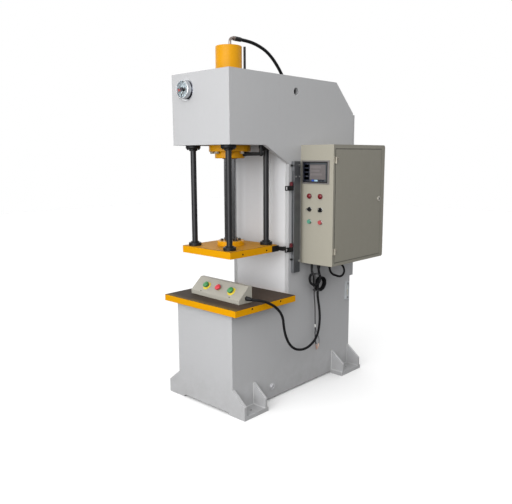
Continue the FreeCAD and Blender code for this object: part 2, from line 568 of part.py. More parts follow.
# touch panel
hm = box(HMI[0], HMI[1], CAB_Y0 - 7, CAB_Y0, HMI[2], HMI[3])
hm = soften(hm, 2.5, lambda e: e.BoundBox.YMax < CAB_Y0 - 6.9)
hm = hm.fuse(box(HMI[0] + 10, HMI[1] - 10, CAB_Y0, CAB_Y0 + 36, HMI[2] + 10, HMI[3] - 10))
SCR = (277.0, 461.0, 1405.0, 1525.0)
hm = hm.cut(box(SCR[0], SCR[1], CAB_Y0 - 8, CAB_Y0 - 4, SCR[2], SCR[3]))
save("hmi_panel", hm.removeSplitter())
save("hmi_screen", box(SCR[0] + 0.2, SCR[1] - 0.2, CAB_Y0 - 6.5, CAB_Y0 - 4, SCR[2] + 0.2, SCR[3] - 0.2))

# switch bezels: ring outside, threaded neck and nut inside
bez = []
for x in PANEL_COL:
    for z in (LAMP_Z, SELECT_Z, PUSH_Z):
        b = cyl(x, CAB_Y0 - 5, z, 15.5, 5, (0, 1, 0))
        b = soften(b, 0.8, lambda e: e.BoundBox.YMax < CAB_Y0 - 4.9)
        b = b.fuse(cyl(x, CAB_Y0, z, 11.0, 20, (0, 1, 0)))
        b = b.fuse(cyl(x, CAB_Y0 + 2, z, 14.0, 4, (0, 1, 0)))
        b = b.fuse(box(x - 14, x + 14, CAB_Y0 + 20, CAB_Y0 + 62, z - 15, z + 15))
        r = {LAMP_Z: LENS_NECK_R, SELECT_Z: SELECT_R, PUSH_Z: PUSH_R}[z]
        b = b.cut(cyl(x, CAB_Y0 - 6, z, r + RUN_CLEAR, 4.5, (0, 1, 0)))
        b = b.cut(cyl(x, CAB_Y0 - 2, z, 8.0 + RUN_CLEAR, 24, (0, 1, 0)))
        bez.append(b.removeSplitter())
save("switch_bezels", *bez)

lamps = []
for x in PANEL_COL:
    d = cyl(x, CAB_Y0 - 12, LAMP_Z, LENS_R, 6.9, (0, 1, 0))
    cap = Part.makeSphere(24.0, V(x, CAB_Y0 + 6.5, LAMP_Z)).common(cyl(x, CAB_Y0 - 30, LAMP_Z, LENS_R - 0.4, 18.5, (0, 1, 0)))
    d = d.fuse(cap)
    d = d.fuse(cyl(x, CAB_Y0 - 5.6, LAMP_Z, LENS_NECK_R, 4.0, (0, 1, 0)))
    d = d.fuse(cyl(x, CAB_Y0 - 2, LAMP_Z, 7.9, 20, (0, 1, 0)))
    lamps.append(d.removeSplitter())
save("pilot_lamps", *lamps)

for name, x in (("selector_left", PANEL_COL[0]), ("selector_right", PANEL_COL[1])):
    k = cyl(x, CAB_Y0 - 10, SELECT_Z, SELECT_R, 8.4, (0, 1, 0))
    grip = prism([(x - 5.0, SELECT_Z - 13.0), (x + 5.0, SELECT_Z - 13.0), (x + 4.0, SELECT_Z + 13.0), (x, SELECT_Z + 15.0), (x - 4.0, SELECT_Z + 13.0)],
                 "y", CAB_Y0 - 25, CAB_Y0 - 9.5)
    if name == "selector_left":
        # this one stands turned to its left position
        grip.rotate(V(x, 0, SELECT_Z), V(0, 1, 0), -90)
    k = k.fuse(grip)
    k = k.fuse(cyl(x, CAB_Y0 - 2, SELECT_Z, 8.0, 20, (0, 1, 0)))
    save(name, k.removeSplitter())

for name, x in (("start_button", PANEL_COL[0]), ("stop_button", PANEL_COL[1])):
    k = cyl(x, CAB_Y0 - 14.5, PUSH_Z, PUSH_R, 8.7, (0, 1, 0))
    k = soften(k, 1.0, lambda e: e.BoundBox.YMax < CAB_Y0 - 14.4)
    k = k.fuse(cyl(x, CAB_Y0 - 6, PUSH_Z, 8.0, 20, (0, 1, 0)))
    save(name, k.removeSplitter())

# mounting plate, contactors, power supply, terminals and trunking inside
gear = [box(CAB_X0 + 6, CAB_X0 + 8, 720, 1215, 900, 1607)]
gear[0] = gear[0].fuse(cyl(CAB_X0 + 2, 740, 920, 5, 4, (1, 0, 0))).fuse(cyl(CAB_X0 + 2, 740, 1587, 5, 4, (1, 0, 0)))
gear[0] = gear[0].fuse(cyl(CAB_X0 + 2, 1195, 920, 5, 4, (1, 0, 0))).fuse(cyl(CAB_X0 + 2, 1195, 1587, 5, 4, (1, 0, 0)))
x0 = CAB_X0 + 8
gear.append(box(x0, x0 + 60, 740, 770, 930, 1580))
gear.append(box(x0, x0 + 60, 1170, 1200, 930, 1580))
gear.append(box(x0, x0 + 60, 770, 1170, 1262, 1292))
for k in range(4):
    gear.append(box(x0 + 8, x0 + 93, 800 + k * 52, 845 + k * 52, 1090, 1165))
gear.append(box(x0 + 8, x0 + 78, 1020, 1130, 1070, 1180))
gear.append(box(x0 + 8, x0 + 120, 800, 900, 1350, 1480))
gear.append(box(x0 + 8, x0 + 98, 920, 1050, 1360, 1470))
gear.append(box(x0 + 8, x0 + 50, 790, 1150, 955, 1000))
for z in (1127.0, 1415.0, 977.0):
    gear.append(box(x0, x0 + 7.8, 780, 1160, z - 17, z + 17))
save("control_gear", *gear)


# cable glands: three under the cabinet, one on the side plate, one on the box
def gland_fit(p, axis, r_hole, r_cable, across, tall):
    """Gland whose body stands out of the wall at p along axis."""
    a = V(*axis)
    a.normalize()
    rot = FreeCAD.Rotation(V(0, 0, 1), a)
    g = hexagon(0, 0, 0, across, 6)
    g = g.fuse(cyl(0, 0, 6, across * 0.48, tall - 10))
    g = g.fuse(cone(0, 0, tall - 4, across * 0.48, r_cable + 2.0, 4))
    g = g.fuse(cyl(0, 0, -10, r_hole - 0.15, 10))
    g = g.cut(cyl(0, 0, -11, r_cable - 2.0, tall + 20))
    g.Placement = FreeCAD.Placement(V(*p), rot)
    return g.removeSplitter()


gl = [
    gland_fit((GLANDS[0][0], GLANDS[0][1], CAB_Z0), (0, 0, -1), 7.0, D_SUPPLY / 2, 17.0, 26.0),
    gland_fit((GLANDS[1][0], GLANDS[1][1], CAB_Z0), (0, 0, -1), 12.6, D_CONDUIT / 2, 29.0, 34.0),
    gland_fit((GLANDS[2][0], GLANDS[2][1], CAB_Z0), (0, 0, -1), 10.6, D_LOOP / 2, 26.0, 34.0),
    gland_fit((HALF_W, 1012.0, 822.0), (1, 0, 0), 10.5, D_LOOP / 2, 26.0, 34.0)]

# ---------------------------------------------------------------- two-hand control box
turn = math.radians(BOX_TURN)
ct, sn = math.cos(turn), math.sin(turn)


def in_box(shape):
    s_ = shape.copy()
    s_.rotate(V(0, 0, 0), V(0, 0, 1), BOX_TURN)
    s_.translate(V(BOX_X, BOX_Y, TABLE_TOP))
    return s_


def box_point(uu, v, h):
    return (BOX_X + ct * uu - sn * v, BOX_Y + sn * uu + ct * v, TABLE_TOP + h)


prof = [(0, 2), (0, BOX_LIP), (BOX_V1, BOX_H), (BOX_V2, BOX_H), (BOX_V2, 2)]
hous = prism(prof, "x", 0, BOX_L)
hous = soften(hous, 1.5, lambda e: e.BoundBox.ZMin > 2.5 and along(e, (1, 0, 0)))
slope_len = math.hypot(BOX_V1, BOX_H - BOX_LIP)
sd = V(0, BOX_V1 / slope_len, (BOX_H - BOX_LIP) / slope_len)
snm = V(0, -sd.z, sd.y)
tt = 2.0
iprof = [(tt, 1), (tt, BOX_LIP - 0.8), (BOX_V1 + 0.8, BOX_H - tt), (BOX_V2 - tt, BOX_H - tt), (BOX_V2 - tt, 1)]
hous = hous.cut(prism(iprof, "x", tt, BOX_L - tt))


def on_slope(uu, s_, h):
    p = V(uu, 0, BOX_LIP).add(sd * s_).add(snm * h)
    return p


def slope_cyl(uu, s_, h0, h1, r):
    p = on_slope(uu, s_, h0)
    return Part.makeCylinder(r, h1 - h0, p, snm)


for uu in BOX_U:
    hous = hous.cut(slope_cyl(uu, BOX_S, -8, 3, 11.2))
hous = hous.cut(Part.makeCylinder(12.2, 6, V(BOX_L - 4, 62.4, 30.8), V(1, 0, 0)))
base = box(1, BOX_L - 1, 1, BOX_V2 - 1, 0, 2)
save("console_housing", in_box(hous), in_box(base))

plates = []
for k, uu in enumerate(BOX_U):
    # legend disc (yellow under the two start buttons), collar, threaded neck and contact block
    if k != 1:
        plates.append(in_box(slope_cyl(uu, BOX_S, 0, 1.6, 29.0).cut(slope_cyl(uu, BOX_S, -1, 3, 11.2))))
for k, uu in enumerate(BOX_U):
    lo = 1.6 if k != 1 else 0.0
    c = slope_cyl(uu, BOX_S, lo, 6.0, 15.0)
    c = c.fuse(slope_cyl(uu, BOX_S, -18, lo, 11.0))
    c = c.fuse(slope_cyl(uu, BOX_S, -7, -3.2, 14.5))
    c = c.cut(slope_cyl(uu, BOX_S, -16, 7, 7.0 + RUN_CLEAR))
    plates.append(in_box(c.removeSplitter()))
save("button_plates", *plates)

for k, (name, uu) in enumerate(zip(("console_button_left", "console_stop_button", "console_button_right"), BOX_U)):
    head_r = 20.0
    b = slope_cyl(uu, BOX_S, 13.0, 21.5, head_r)
    p = on_slope(uu, BOX_S, 21.5)
    dome = Part.makeSphere(36.0, p.sub(snm * 30.0)).common(slope_cyl(uu, BOX_S, 21.4, 40.0, head_r))
    b = b.fuse(dome)
    b = b.fuse(slope_cyl(uu, BOX_S, -8.0, 13.5, 7.0))
    b = b.fuse(slope_cyl(uu, BOX_S, 11.6, 13.5, 12.0))
    save(name, in_box(b.removeSplitter()))

gp = box_point(BOX_L, 62.4, 30.8)
gl.append(gland_fit(gp, (ct, sn, 0), 12.2, D_CONDUIT / 2, 27.0, 26.0))
save("cable_glands", *gl)

# ---------------------------------------------------------------- ram, platen, columns
rod = cyl(0, CYL_Y, PLATEN_Z1, ROD_R, PISTON_Z0 - PLATEN_Z1)
piston = cyl(0, CYL_Y, PISTON_Z0, CYL_BORE_R - RUN_CLEAR, PISTON_Z1 - PISTON_Z0)
save("piston_rod", rod, piston)

coup = cyl(0, CYL_Y, PLATEN_Z1, COUP_R, COUP_H)
coup = soften(coup, 2.0, lambda e: e.BoundBox.ZMin > PLATEN_Z1 + COUP_H - 0.1)
coup = coup.cut(cyl(0, CYL_Y, PLATEN_Z1 - 1, ROD_R + 0.1, 42))
cb = []
for i in range(6):
    a = math.radians(-6 + 60 * i)
    x, y = COUP_BOLT_R * math.cos(a), CYL_Y + COUP_BOLT_R * math.sin(a)
    coup = coup.cut(cyl(x, y, PLATEN_Z1 - 1, 6.2, 42))
    b = cyl(x, y, PLATEN_Z1 - 20, 6.0, 20 + COUP_H).fuse(cyl(x, y, PLATEN_Z1 + COUP_H, 9.0, 13))
    b = b.cut(hexagon(x, y, PLATEN_Z1 + COUP_H + 6, 10.0, 8))
    cb.append(b.removeSplitter())
save("rod_coupling", coup, *cb)

plat = box(-PLATEN_X, PLATEN_X, PLATEN_Y0, PLATEN_Y1, PLATEN_Z0, PLATEN_Z1)
plat = soften(plat, 2.0, lambda e: e.BoundBox.ZMin > PLATEN_Z1 - 0.01 or along(e, (0, 0, 1)))
for sx in (-1, 1):
    for y in (132.0, 346.0):
        x0_ = PLATEN_X - 26 if sx > 0 else -PLATEN_X - 1
        plat = plat.cut(cyl(x0_, y, 981.5, 6.5, 27, (1, 0, 0)))
    for y in COL_Y:
        plat = plat.cut(cyl(sx * COL_X, y, PLATEN_Z0 - 1, COL_R + 0.05, 60))
for i in range(6):
    a = math.radians(-6 + 60 * i)
    plat = plat.cut(cyl(COUP_BOLT_R * math.cos(a), CYL_Y + COUP_BOLT_R * math.sin(a), PLATEN_Z1 - 21, 6.1, 22))
for y in (406.0, 434.0):
    plat = plat.cut(cyl(PLATEN_X - 15, y, 985.0, 3.1, 16, (1, 0, 0)))
save("platen", plat)

cols, collars = [], []
for sx in (-1, 1):
    for y in COL_Y:
        c = cyl(sx * COL_X, y, PLATEN_Z0 + 4, COL_R, COL_TOP - PLATEN_Z0 - 4)
        c = soften(c, 2.5, lambda e: e.BoundBox.ZMin > COL_TOP - 0.1)
        cols.append(c)
        k = cyl(sx * COL_X, y, PLATEN_Z1, COLLAR_R, 20)
        k = rounded(k, 4.0, lambda e: e.BoundBox.ZMin > PLATEN_Z1 + 19.9)
        k = k.fuse(cyl(sx * COL_X, y, PLATEN_Z1, 26.0, 27))
        k = k.cut(cyl(sx * COL_X, y, PLATEN_Z1 - 1, COL_R + 0.05, 30))
        collars.append(k.removeSplitter())
save("guide_rods", *cols)
save("rod_collars", *collars)

# striker arm, screwed to the platen's right edge
arm = box(PLATEN_X, 226, 396, 452, PLATEN_Z0 + 2, PLATEN_Z1 - 4)
arm = arm.fuse(box(PLATEN_X, 268, 444, 452, PLATEN_Z0 + 8, PLATEN_Z1 - 10))
arm = arm.fuse(box(256, 268, 444, 474, PLATEN_Z0 + 8, PLATEN_Z1 - 10))
arm = arm.removeSplitter()
arm_bolts = []
for y in (406.0, 434.0):
    arm = arm.cut(cyl(PLATEN_X - 1, y, 985.0, 3.2, 10, (1, 0, 0)))
    arm_bolts.append(cyl(PLATEN_X - 14, y, 985.0, 3.0, 22, (1, 0, 0)).fuse(cyl(226, y, 985.0, 5.0, 5, (1, 0, 0))))
save("striker_arm", arm, *arm_bolts)

# ---------------------------------------------------------------- motor, pump and valves in the column
MY = 880.0
bell = cyl(0, MY, BASE_TOP, 110, 12).fuse(cyl(0, MY, BASE_TOP + 12, 85, 108))
bell = bell.cut(cyl(0, MY, BASE_TOP - 1, 62, 130))
motor = cyl(0, MY, BASE_TOP + 120, 98, 270)
motor = motor.cut(cyl(0, MY, BASE_TOP + 135, 62, 200))
motor = motor.cut(cyl(0, MY, BASE_TOP + 110, 14 + RUN_CLEAR, 265))
motor = motor.fuse(box(98 - 12, 98 + 40, MY - 45, MY + 45, BASE_TOP + 190, BASE_TOP + 280))
motor = motor.cut(cyl(0, MY, BASE_TOP + 135, 62, 200))
pump = box(-50, 50, MY - 50, MY + 50, BASE_TOP - 115, BASE_TOP - 25)
pump = pump.fuse(cyl(0, MY, BASE_TOP - 26, 30, 27))
pump = pump.cut(cyl(0, MY, BASE_TOP - 90, 10 + RUN_CLEAR, 100))
suction = cyl(30, MY, 200, 14, BASE_TOP - 115 - 200).fuse(cyl(30, MY, 120, 35, 80))
valve = box(-150, -50, 620, 740, BASE_TOP, BASE_TOP + 100)
valve = valve.fuse(box(-135, -65, 560, 780, BASE_TOP + 100, BASE_TOP + 150))
riser = cyl(-100, 680, BASE_TOP + 150, 9, 1960 - BASE_TOP - 150)
save("power_unit", bell, motor, pump, suction, valve, riser)

shaft = cyl(0, MY, BASE_TOP - 80, 10, 100).fuse(cyl(0, MY, BASE_TOP + 20, 30, 60))
shaft = shaft.fuse(cyl(0, MY, BASE_TOP + 80, 14, 290)).fuse(cyl(0, MY, BASE_TOP + 150, 58, 170))
save("motor_shaft", shaft.removeSplitter())

# ---------------------------------------------------------------- cables and hose
# each route's points are repeated in the scene file, in metres
GX, GY, GZ = box_point(BOX_L + 26.0, 62.4, 30.8)
HX, HY, HZ_ = box_point(BOX_L + 59.0, 62.4, 30.8)
CONDUIT = [
    (GX, GY, GZ),
    (HX, HY, HZ_),
    (347.0, 158.6, 713.2),
    (370.0, 207.4, 690.3),
    (374.0, 272.0, 648.0),
    (370.0, 326.0, 586.0),
    (364.0, 343.0, 506.0),
    (359.0, 372.7, 430.2),
    (354.0, 423.8, 365.6),
    (348.0, 492.1, 323.9),
    (341.0, 580.0, 304.3),
    (333.0, 667.5, 313.9),
    (324.0, 744.0, 357.0),
    (316.0, 778.3, 439.7),
    (310.0, 782.7, 524.2),
    (304.0, 775.0, 588.0),
    (301.0, 768.0, 640.0)]
SUPPLY = [
    (285.0, 722.0, 844.0),
    (285.0, 722.0, 810.0),
    (293.0, 742.0, 774.0),
    (294.0, 750.0, 733.0),
    (288.0, 751.0, 690.0),
    (280.0, 757.0, 650.0),
    (271.0, 772.0, 608.0),
    (268.0, 784.0, 560.0),
    (268.0, 787.0, 500.0),
    (268.0, 788.0, 444.0),
    (267.0, 792.0, 390.0),
    (268.0, 789.0, 334.0),
    (270.0, 795.0, 282.0),
    (272.0, 806.0, 232.0)]
LOOP = [
    (352.0, 831.0, 836.0),
    (352.0, 831.0, 810.0),
    (355.0, 843.5, 786.0),
    (356.0, 868.0, 767.5),
    (354.0, 899.0, 758.0),
    (353.0, 930.0, 746.5),
    (354.5, 960.5, 740.0),
    (356.0, 988.5, 749.5),
    (353.0, 1006.5, 771.5),
    (342.3, 1013.2, 795.4),
    (326.1, 1012.0, 813.0),
    (304.0, 1012.0, 822.0),
    (284.0, 1012.0, 822.0)]
HOSE = [
    (0, 348, 2279), (0, 420, 2279), (0, 505, 2266), (0, 596, 2236), (0, 675, 2179), (0, 739, 2111),
    (0, 786, 2042), (0, 806, 1972)]
low_t = tube_along(CONDUIT, D_CONDUIT, "console_conduit")
up_t = cyl(306.0, 770.0, 792.0, D_CONDUIT / 2, 44)
save("console_conduit", low_t, up_t)
sup = tube_along(SUPPLY, D_SUPPLY, "supply_cable")
save("supply_cable", sup)
save("cabinet_conduit", tube_along(LOOP, D_LOOP, "cabinet_conduit"))
save("pressure_hose", tube_along(HOSE, D_HOSE, "pressure_hose"))

# tied surplus of the box's cable: outer shape of its two loops, a large one to the
# rear and a smaller one to the front, tied at their upper middle
big = cyl(262.0, 811.0, 704.0, 56.0, 54, (1, 0, 0)).cut(cyl(260.0, 811.0, 704.0, 31.0, 60, (1, 0, 0)))
small = cyl(262.0, 730.0, 745.0, 46.0, 72, (1, 0, 0)).cut(cyl(260.0, 730.0, 745.0, 22.0, 80, (1, 0, 0)))
stem = box(262.0, 334.0, 752.0, 784.0, 643.0, 792.0)
loops = big.fuse(small).fuse(stem).removeSplitter()
# room for the supply cable, which is tied in with them
loops = loops.cut(tube_along(SUPPLY, D_SUPPLY + 0.6, "supply_cable room"))
loops = max(loops.Solids, key=lambda q: q.Volume)
save("conduit_loops", loops)

# ---------------------------------------------------------------- extent
CORDS = ("console_conduit", "conduit_loops", "supply_cable", "cabinet_conduit", "pressure_hose")
bb = FreeCAD.BoundBox()
for k_, s_ in SHAPES.items():
    if k_ not in CORDS:
        bb.add(s_.BoundBox)
print("nodes", len(SHAPES), "box without cords", [round(v, 3) for v in (bb.XMin, bb.XMax, bb.YMin, bb.YMax, bb.ZMin, bb.ZMax)])
print("cord box ends", [(k_, [round(v, 1) for v in (SHAPES[k_].BoundBox.ZMin, SHAPES[k_].BoundBox.ZMax)]) for k_ in CORDS])
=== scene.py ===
import bpy
import bmesh
import json
import math
import random
from mathutils import Matrix, Vector


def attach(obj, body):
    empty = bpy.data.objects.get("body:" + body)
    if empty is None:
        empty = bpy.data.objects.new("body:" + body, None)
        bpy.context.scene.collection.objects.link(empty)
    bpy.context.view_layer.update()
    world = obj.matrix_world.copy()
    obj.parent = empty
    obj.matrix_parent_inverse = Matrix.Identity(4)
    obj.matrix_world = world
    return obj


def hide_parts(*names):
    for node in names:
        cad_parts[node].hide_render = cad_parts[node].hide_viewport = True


# Hydraulic press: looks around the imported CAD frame. Positions below are in the
# drawing's millimetres (ram axis x = 0, front plates' face y = 0, floor z = 0);
# W() turns them into the row frame's metres.
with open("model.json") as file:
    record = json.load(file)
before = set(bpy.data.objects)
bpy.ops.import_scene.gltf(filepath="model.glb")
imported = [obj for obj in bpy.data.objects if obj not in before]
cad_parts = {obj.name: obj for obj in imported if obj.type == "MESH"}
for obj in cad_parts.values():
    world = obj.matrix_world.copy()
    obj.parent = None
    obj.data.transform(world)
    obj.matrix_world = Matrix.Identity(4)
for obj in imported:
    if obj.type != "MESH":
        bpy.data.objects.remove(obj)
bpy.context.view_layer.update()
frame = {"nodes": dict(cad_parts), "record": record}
NODES = frame["nodes"]
SCENE = bpy.context.scene


def W(x, y, z):
    return Vector(((x - 85.0) / 1000.0, (y - 616.0) / 1000.0, z / 1000.0))


def link(ob):
    SCENE.collection.objects.link(ob)
    return ob


# ------------------------------------------------------------------ camera
cam_data = bpy.data.cameras.new("camera")
cam_data.sensor_fit = "HORIZONTAL"
cam_data.sensor_width = 36.0
cam_data.lens = 41.212
cam_data.clip_start = 0.05
cam_data.clip_end = 60.0
camera = link(bpy.data.objects.new("camera", cam_data))
right = Vector((0.72963321, 0.68382358, -0.00454843))
up = Vector((-0.10680829, 0.12052807, 0.9869473))
ahead = Vector((-0.67544605, 0.71962372, -0.16097931))
turn = Matrix((right, up, -ahead)).transposed().to_4x4()
camera.matrix_world = Matrix.Translation(W(2659.05611928, -2353.61345443, 1565.97105785)) @ turn
SCENE.camera = camera


# ------------------------------------------------------------------ material nodes
class Mat:
    """A Principled material built node by node, in object coordinates (metres)."""

    def __init__(self, name):
        self.m = bpy.data.materials.new(name)
        self.m.use_nodes = True
        self.t = self.m.node_tree
        self.t.nodes.clear()
        self.out = self.t.nodes.new("ShaderNodeOutputMaterial")
        self.b = self.t.nodes.new("ShaderNodeBsdfPrincipled")
        self.t.links.new(self.b.outputs[0], self.out.inputs[0])
        self._coord = None
        self._geo = None

    def n(self, kind):
        return self.t.nodes.new(kind)

    def put(self, socket, value):
        if isinstance(value, bpy.types.NodeSocket):
            self.t.links.new(value, socket)
        elif value is not None:
            if hasattr(socket.default_value, "__len__"):
                v = tuple(value)
                socket.default_value = v if len(v) == len(socket.default_value) else v + (1.0,)
            else:
                socket.default_value = value

    def set(self, **kw):
        for k, v in kw.items():
            self.put(self.b.inputs[k.replace("_", " ")], v)
        return self

    @property
    def coord(self):
        if self._coord is None:
            self._coord = self.n("ShaderNodeTexCoord")
        return self._coord

    @property
    def geo(self):
        if self._geo is None:
            self._geo = self.n("ShaderNodeNewGeometry")
        return self._geo

    def xyz(self):
        s = self.n("ShaderNodeSeparateXYZ")
        self.put(s.inputs[0], self.coord.outputs["Object"])
        return s.outputs[0], s.outputs[1], s.outputs[2]

    def normal_xyz(self):
        s = self.n("ShaderNodeSeparateXYZ")
        self.put(s.inputs[0], self.coord.outputs["Normal"])
        return s.outputs[0], s.outputs[1], s.outputs[2]

    def stretched(self, scale, offset=(0, 0, 0), rotation=(0, 0, 0)):
        mp = self.n("ShaderNodeMapping")
        self.put(mp.inputs["Vector"], self.coord.outputs["Object"])
        mp.inputs["Scale"].default_value = scale
        mp.inputs["Location"].default_value = offset
        mp.inputs["Rotation"].default_value = rotation
        return mp.outputs[0]

    def noise(self, scale, detail=3.0, rough=0.55, vec=None, distort=0.0):
        q = self.n("ShaderNodeTexNoise")
        self.put(q.inputs["Vector"], vec if vec is not None else self.coord.outputs["Object"])
        q.inputs["Scale"].default_value = scale
        q.inputs["Detail"].default_value = detail
        q.inputs["Roughness"].default_value = rough
        q.inputs["Distortion"].default_value = distort
        return q.outputs[0]

    def voronoi(self, scale, vec=None, feature="F1"):
        q = self.n("ShaderNodeTexVoronoi")
        q.feature = feature
        self.put(q.inputs["Vector"], vec if vec is not None else self.coord.outputs["Object"])
        q.inputs["Scale"].default_value = scale
        return q.outputs["Distance"]

    def math(self, op, a, b=None, c=None, clamp=False):
        q = self.n("ShaderNodeMath")
        q.operation = op
        q.use_clamp = clamp
        self.put(q.inputs[0], a)
        if b is not None:
            self.put(q.inputs[1], b)
        if c is not None:
            self.put(q.inputs[2], c)
        return q.outputs[0]

    def remap(self, v, lo, hi, a=0.0, b=1.0, smooth=False):
        q = self.n("ShaderNodeMapRange")
        q.clamp = True
        if smooth:
            q.interpolation_type = "SMOOTHSTEP"
        self.put(q.inputs["Value"], v)
        q.inputs["From Min"].default_value = lo
        q.inputs["From Max"].default_value = hi
        q.inputs["To Min"].default_value = a
        q.inputs["To Max"].default_value = b
        return q.outputs["Result"]

    def mix(self, f, a, b, blend="MIX"):
        q = self.n("ShaderNodeMix")
        q.data_type = "RGBA"
        q.blend_type = blend
        self.put(q.inputs[0], f)
        self.put(q.inputs[6], a)
        self.put(q.inputs[7], b)
        return q.outputs[2]

    def mixf(self, f, a, b):
        q = self.n("ShaderNodeMix")
        q.data_type = "FLOAT"
        self.put(q.inputs[0], f)
        self.put(q.inputs[2], a)
        self.put(q.inputs[3], b)
        return q.outputs[0]

    def bevel(self, radius, samples=4):
        q = self.n("ShaderNodeBevel")
        q.samples = samples
        q.inputs["Radius"].default_value = radius
        return q.outputs[0]

    def edge(self, bevelled, lo=0.015, hi=0.2):
        d = self.n("ShaderNodeVectorMath")
        d.operation = "DOT_PRODUCT"
        self.put(d.inputs[0], bevelled)
        self.put(d.inputs[1], self.geo.outputs["Normal"])
        return self.remap(self.math("SUBTRACT", 1.0, d.outputs["Value"]), lo, hi)

    def bump(self, height, strength, distance, normal=None):
        q = self.n("ShaderNodeBump")
        q.inputs["Strength"].default_value = strength
        q.inputs["Distance"].default_value = distance
        self.put(q.inputs["Height"], height)
        if normal is not None:
            self.put(q.inputs["Normal"], normal)
        return q.outputs[0]

    def dot(self, vec, direction):
        d = self.n("ShaderNodeVectorMath")
        d.operation = "DOT_PRODUCT"
        self.put(d.inputs[0], vec)
        d.inputs[1].default_value = direction
        return d.outputs["Value"]

    def distance(self, vec, point):
        d = self.n("ShaderNodeVectorMath")
        d.operation = "DISTANCE"
        self.put(d.inputs[0], vec)
        d.inputs[1].default_value = point
        return d.outputs["Value"]


def shade(c, k):
    return tuple(max(0.0, min(1.0, x * k)) for x in c)


def paint_layers(q, base, var=0.05, dirt=0.15, low_dirt=True, edge_light=0.0, wear=0.0, edge_r=0.0022,
                 peel=0.12, peel_scale=420.0, rough=(0.36, 0.5), grime=(0.16, 0.15, 0.13), worn=(0.32, 0.31, 0.3)):
    """Colour, roughness and normal of a painted plate: tone drift, handling grime, lighter edges (thin paint at the
    edges together with a painted highlight), edge wear and orange peel.
    """
    tone = q.noise(1.7, 4, 0.6)
    col = q.mix(tone, shade(base, 1 - var), shade(base, 1 + var))
    fine = q.noise(55.0, 3, 0.6)
    col = q.mix(q.remap(fine, 0.35, 0.75, 0.0, 0.35), col, shade(base, 1 - 1.6 * var))
    # rain-like streaks running down, very faint
    runs = q.noise(9.0, 4, 0.6, q.stretched((5.0, 5.0, 0.35)))
    col = q.mix(q.remap(runs, 0.56, 0.75, 0.0, dirt * 0.5), col, shade(base, 0.72))
    if low_dirt:
        z = q.xyz()[2]
        foot = q.remap(z, 0.0, 0.34, 1.0, 0.0, smooth=True)
        patch = q.remap(q.noise(13.0, 6, 0.7), 0.35, 0.75)
        col = q.mix(q.math("MULTIPLY", q.math("MULTIPLY", foot, patch), dirt * 2.2, clamp=True), col, grime)
    bev = q.bevel(edge_r)
    em = q.edge(bev)
    # lighter edges: partly thin paint at the edges, partly a painted highlight along them
    if edge_light:
        col = q.mix(q.math("MULTIPLY", em, edge_light), col, shade(base, 1.5))
    if wear:
        chips = q.remap(q.noise(120.0, 5, 0.75), 0.56, 0.62)
        col = q.mix(q.math("MULTIPLY", q.math("MULTIPLY", em, chips), wear, clamp=True), col, worn)
    r = q.remap(q.noise(24.0, 4, 0.6), 0.3, 0.7, rough[0], rough[1])
    nrm = q.bump(q.noise(peel_scale, 2, 0.5), peel, 0.0004, bev)
    return col, r, nrm


def painted(name, base, metal=0.0, spec=0.5, coat=0.0, **kw):
    q = Mat(name)
    col, r, nrm = paint_layers(q, base, **kw)
    q.set(Base_Color=col, Roughness=r, Normal=nrm)
    q.b.inputs["Metallic"].default_value = metal
    q.b.inputs["Specular IOR Level"].default_value = spec
    if coat:
        q.b.inputs["Coat Weight"].default_value = coat
        q.b.inputs["Coat Roughness"].default_value = 0.12
    return q.m


def metal_layers(q, base, rough=(0.25, 0.4), grain=(1.0, 1.0, 1.0), grain_scale=260.0, var=0.12, bump=0.08, edge_r=0.0008,
                 spots=0.0, spot_col=(0.1, 0.07, 0.05)):
    lines = q.noise(grain_scale, 5, 0.65, q.stretched(grain))
    col = q.mix(lines, shade(base, 1 - var), shade(base, 1 + var))
    cloud = q.noise(7.0, 5, 0.6)
    col = q.mix(q.remap(cloud, 0.35, 0.7, 0.0, 0.5), col, shade(base, 1 - 1.4 * var))
    if spots:
        sp = q.remap(q.noise(95.0, 6, 0.8), 0.62, 0.72)
        col = q.mix(q.math("MULTIPLY", sp, spots), col, spot_col)
    bev = q.bevel(edge_r)
    em = q.edge(bev)
    col = q.mix(q.math("MULTIPLY", em, 0.4), col, shade(base, 1.7))
    r = q.remap(q.noise(60.0, 5, 0.6, q.stretched(grain)), 0.25, 0.75, rough[0], rough[1])
    nrm = q.bump(lines, bump, 0.0002, bev)
    return col, r, nrm


def metal(name, base, metallic=1.0, spec=0.5, aniso=0.0, **kw):
    q = Mat(name)
    col, r, nrm = metal_layers(q, base, **kw)
    q.set(Base_Color=col, Roughness=r, Normal=nrm)
    q.b.inputs["Metallic"].default_value = metallic
    q.b.inputs["Specular IOR Level"].default_value = spec
    if aniso:
        q.b.inputs["Anisotropic"].default_value = aniso
    return q.m


def plastic(name, base, rough=(0.4, 0.55), var=0.08, grain=900.0, bump=0.1, spec=0.5, edge_r=0.0006, dust=0.12, coat=0.0,
            dust_col=(0.42, 0.4, 0.37)):
    q = Mat(name)
    col = q.mix(q.noise(30.0, 4, 0.6), shade(base, 1 - var), shade(base, 1 + var))
    up_face = q.remap(q.normal_xyz()[2], 0.3, 0.95)
    dusty = q.remap(q.noise(70.0, 5, 0.7), 0.4, 0.7)
    col = q.mix(q.math("MULTIPLY", q.math("MULTIPLY", up_face, dusty), dust, clamp=True), col, dust_col)
    bev = q.bevel(edge_r)
    col = q.mix(q.math("MULTIPLY", q.edge(bev), 0.25), col, shade(base, 1.6))
    r = q.remap(q.noise(40.0, 4, 0.6), 0.3, 0.7, rough[0], rough[1])
    q.set(Base_Color=col, Roughness=r, Normal=q.bump(q.noise(grain, 2, 0.5), bump, 0.00015, bev))
    q.b.inputs["Specular IOR Level"].default_value = spec
    if coat:
        q.b.inputs["Coat Weight"].default_value = coat
        q.b.inputs["Coat Roughness"].default_value = 0.08
    return q.m


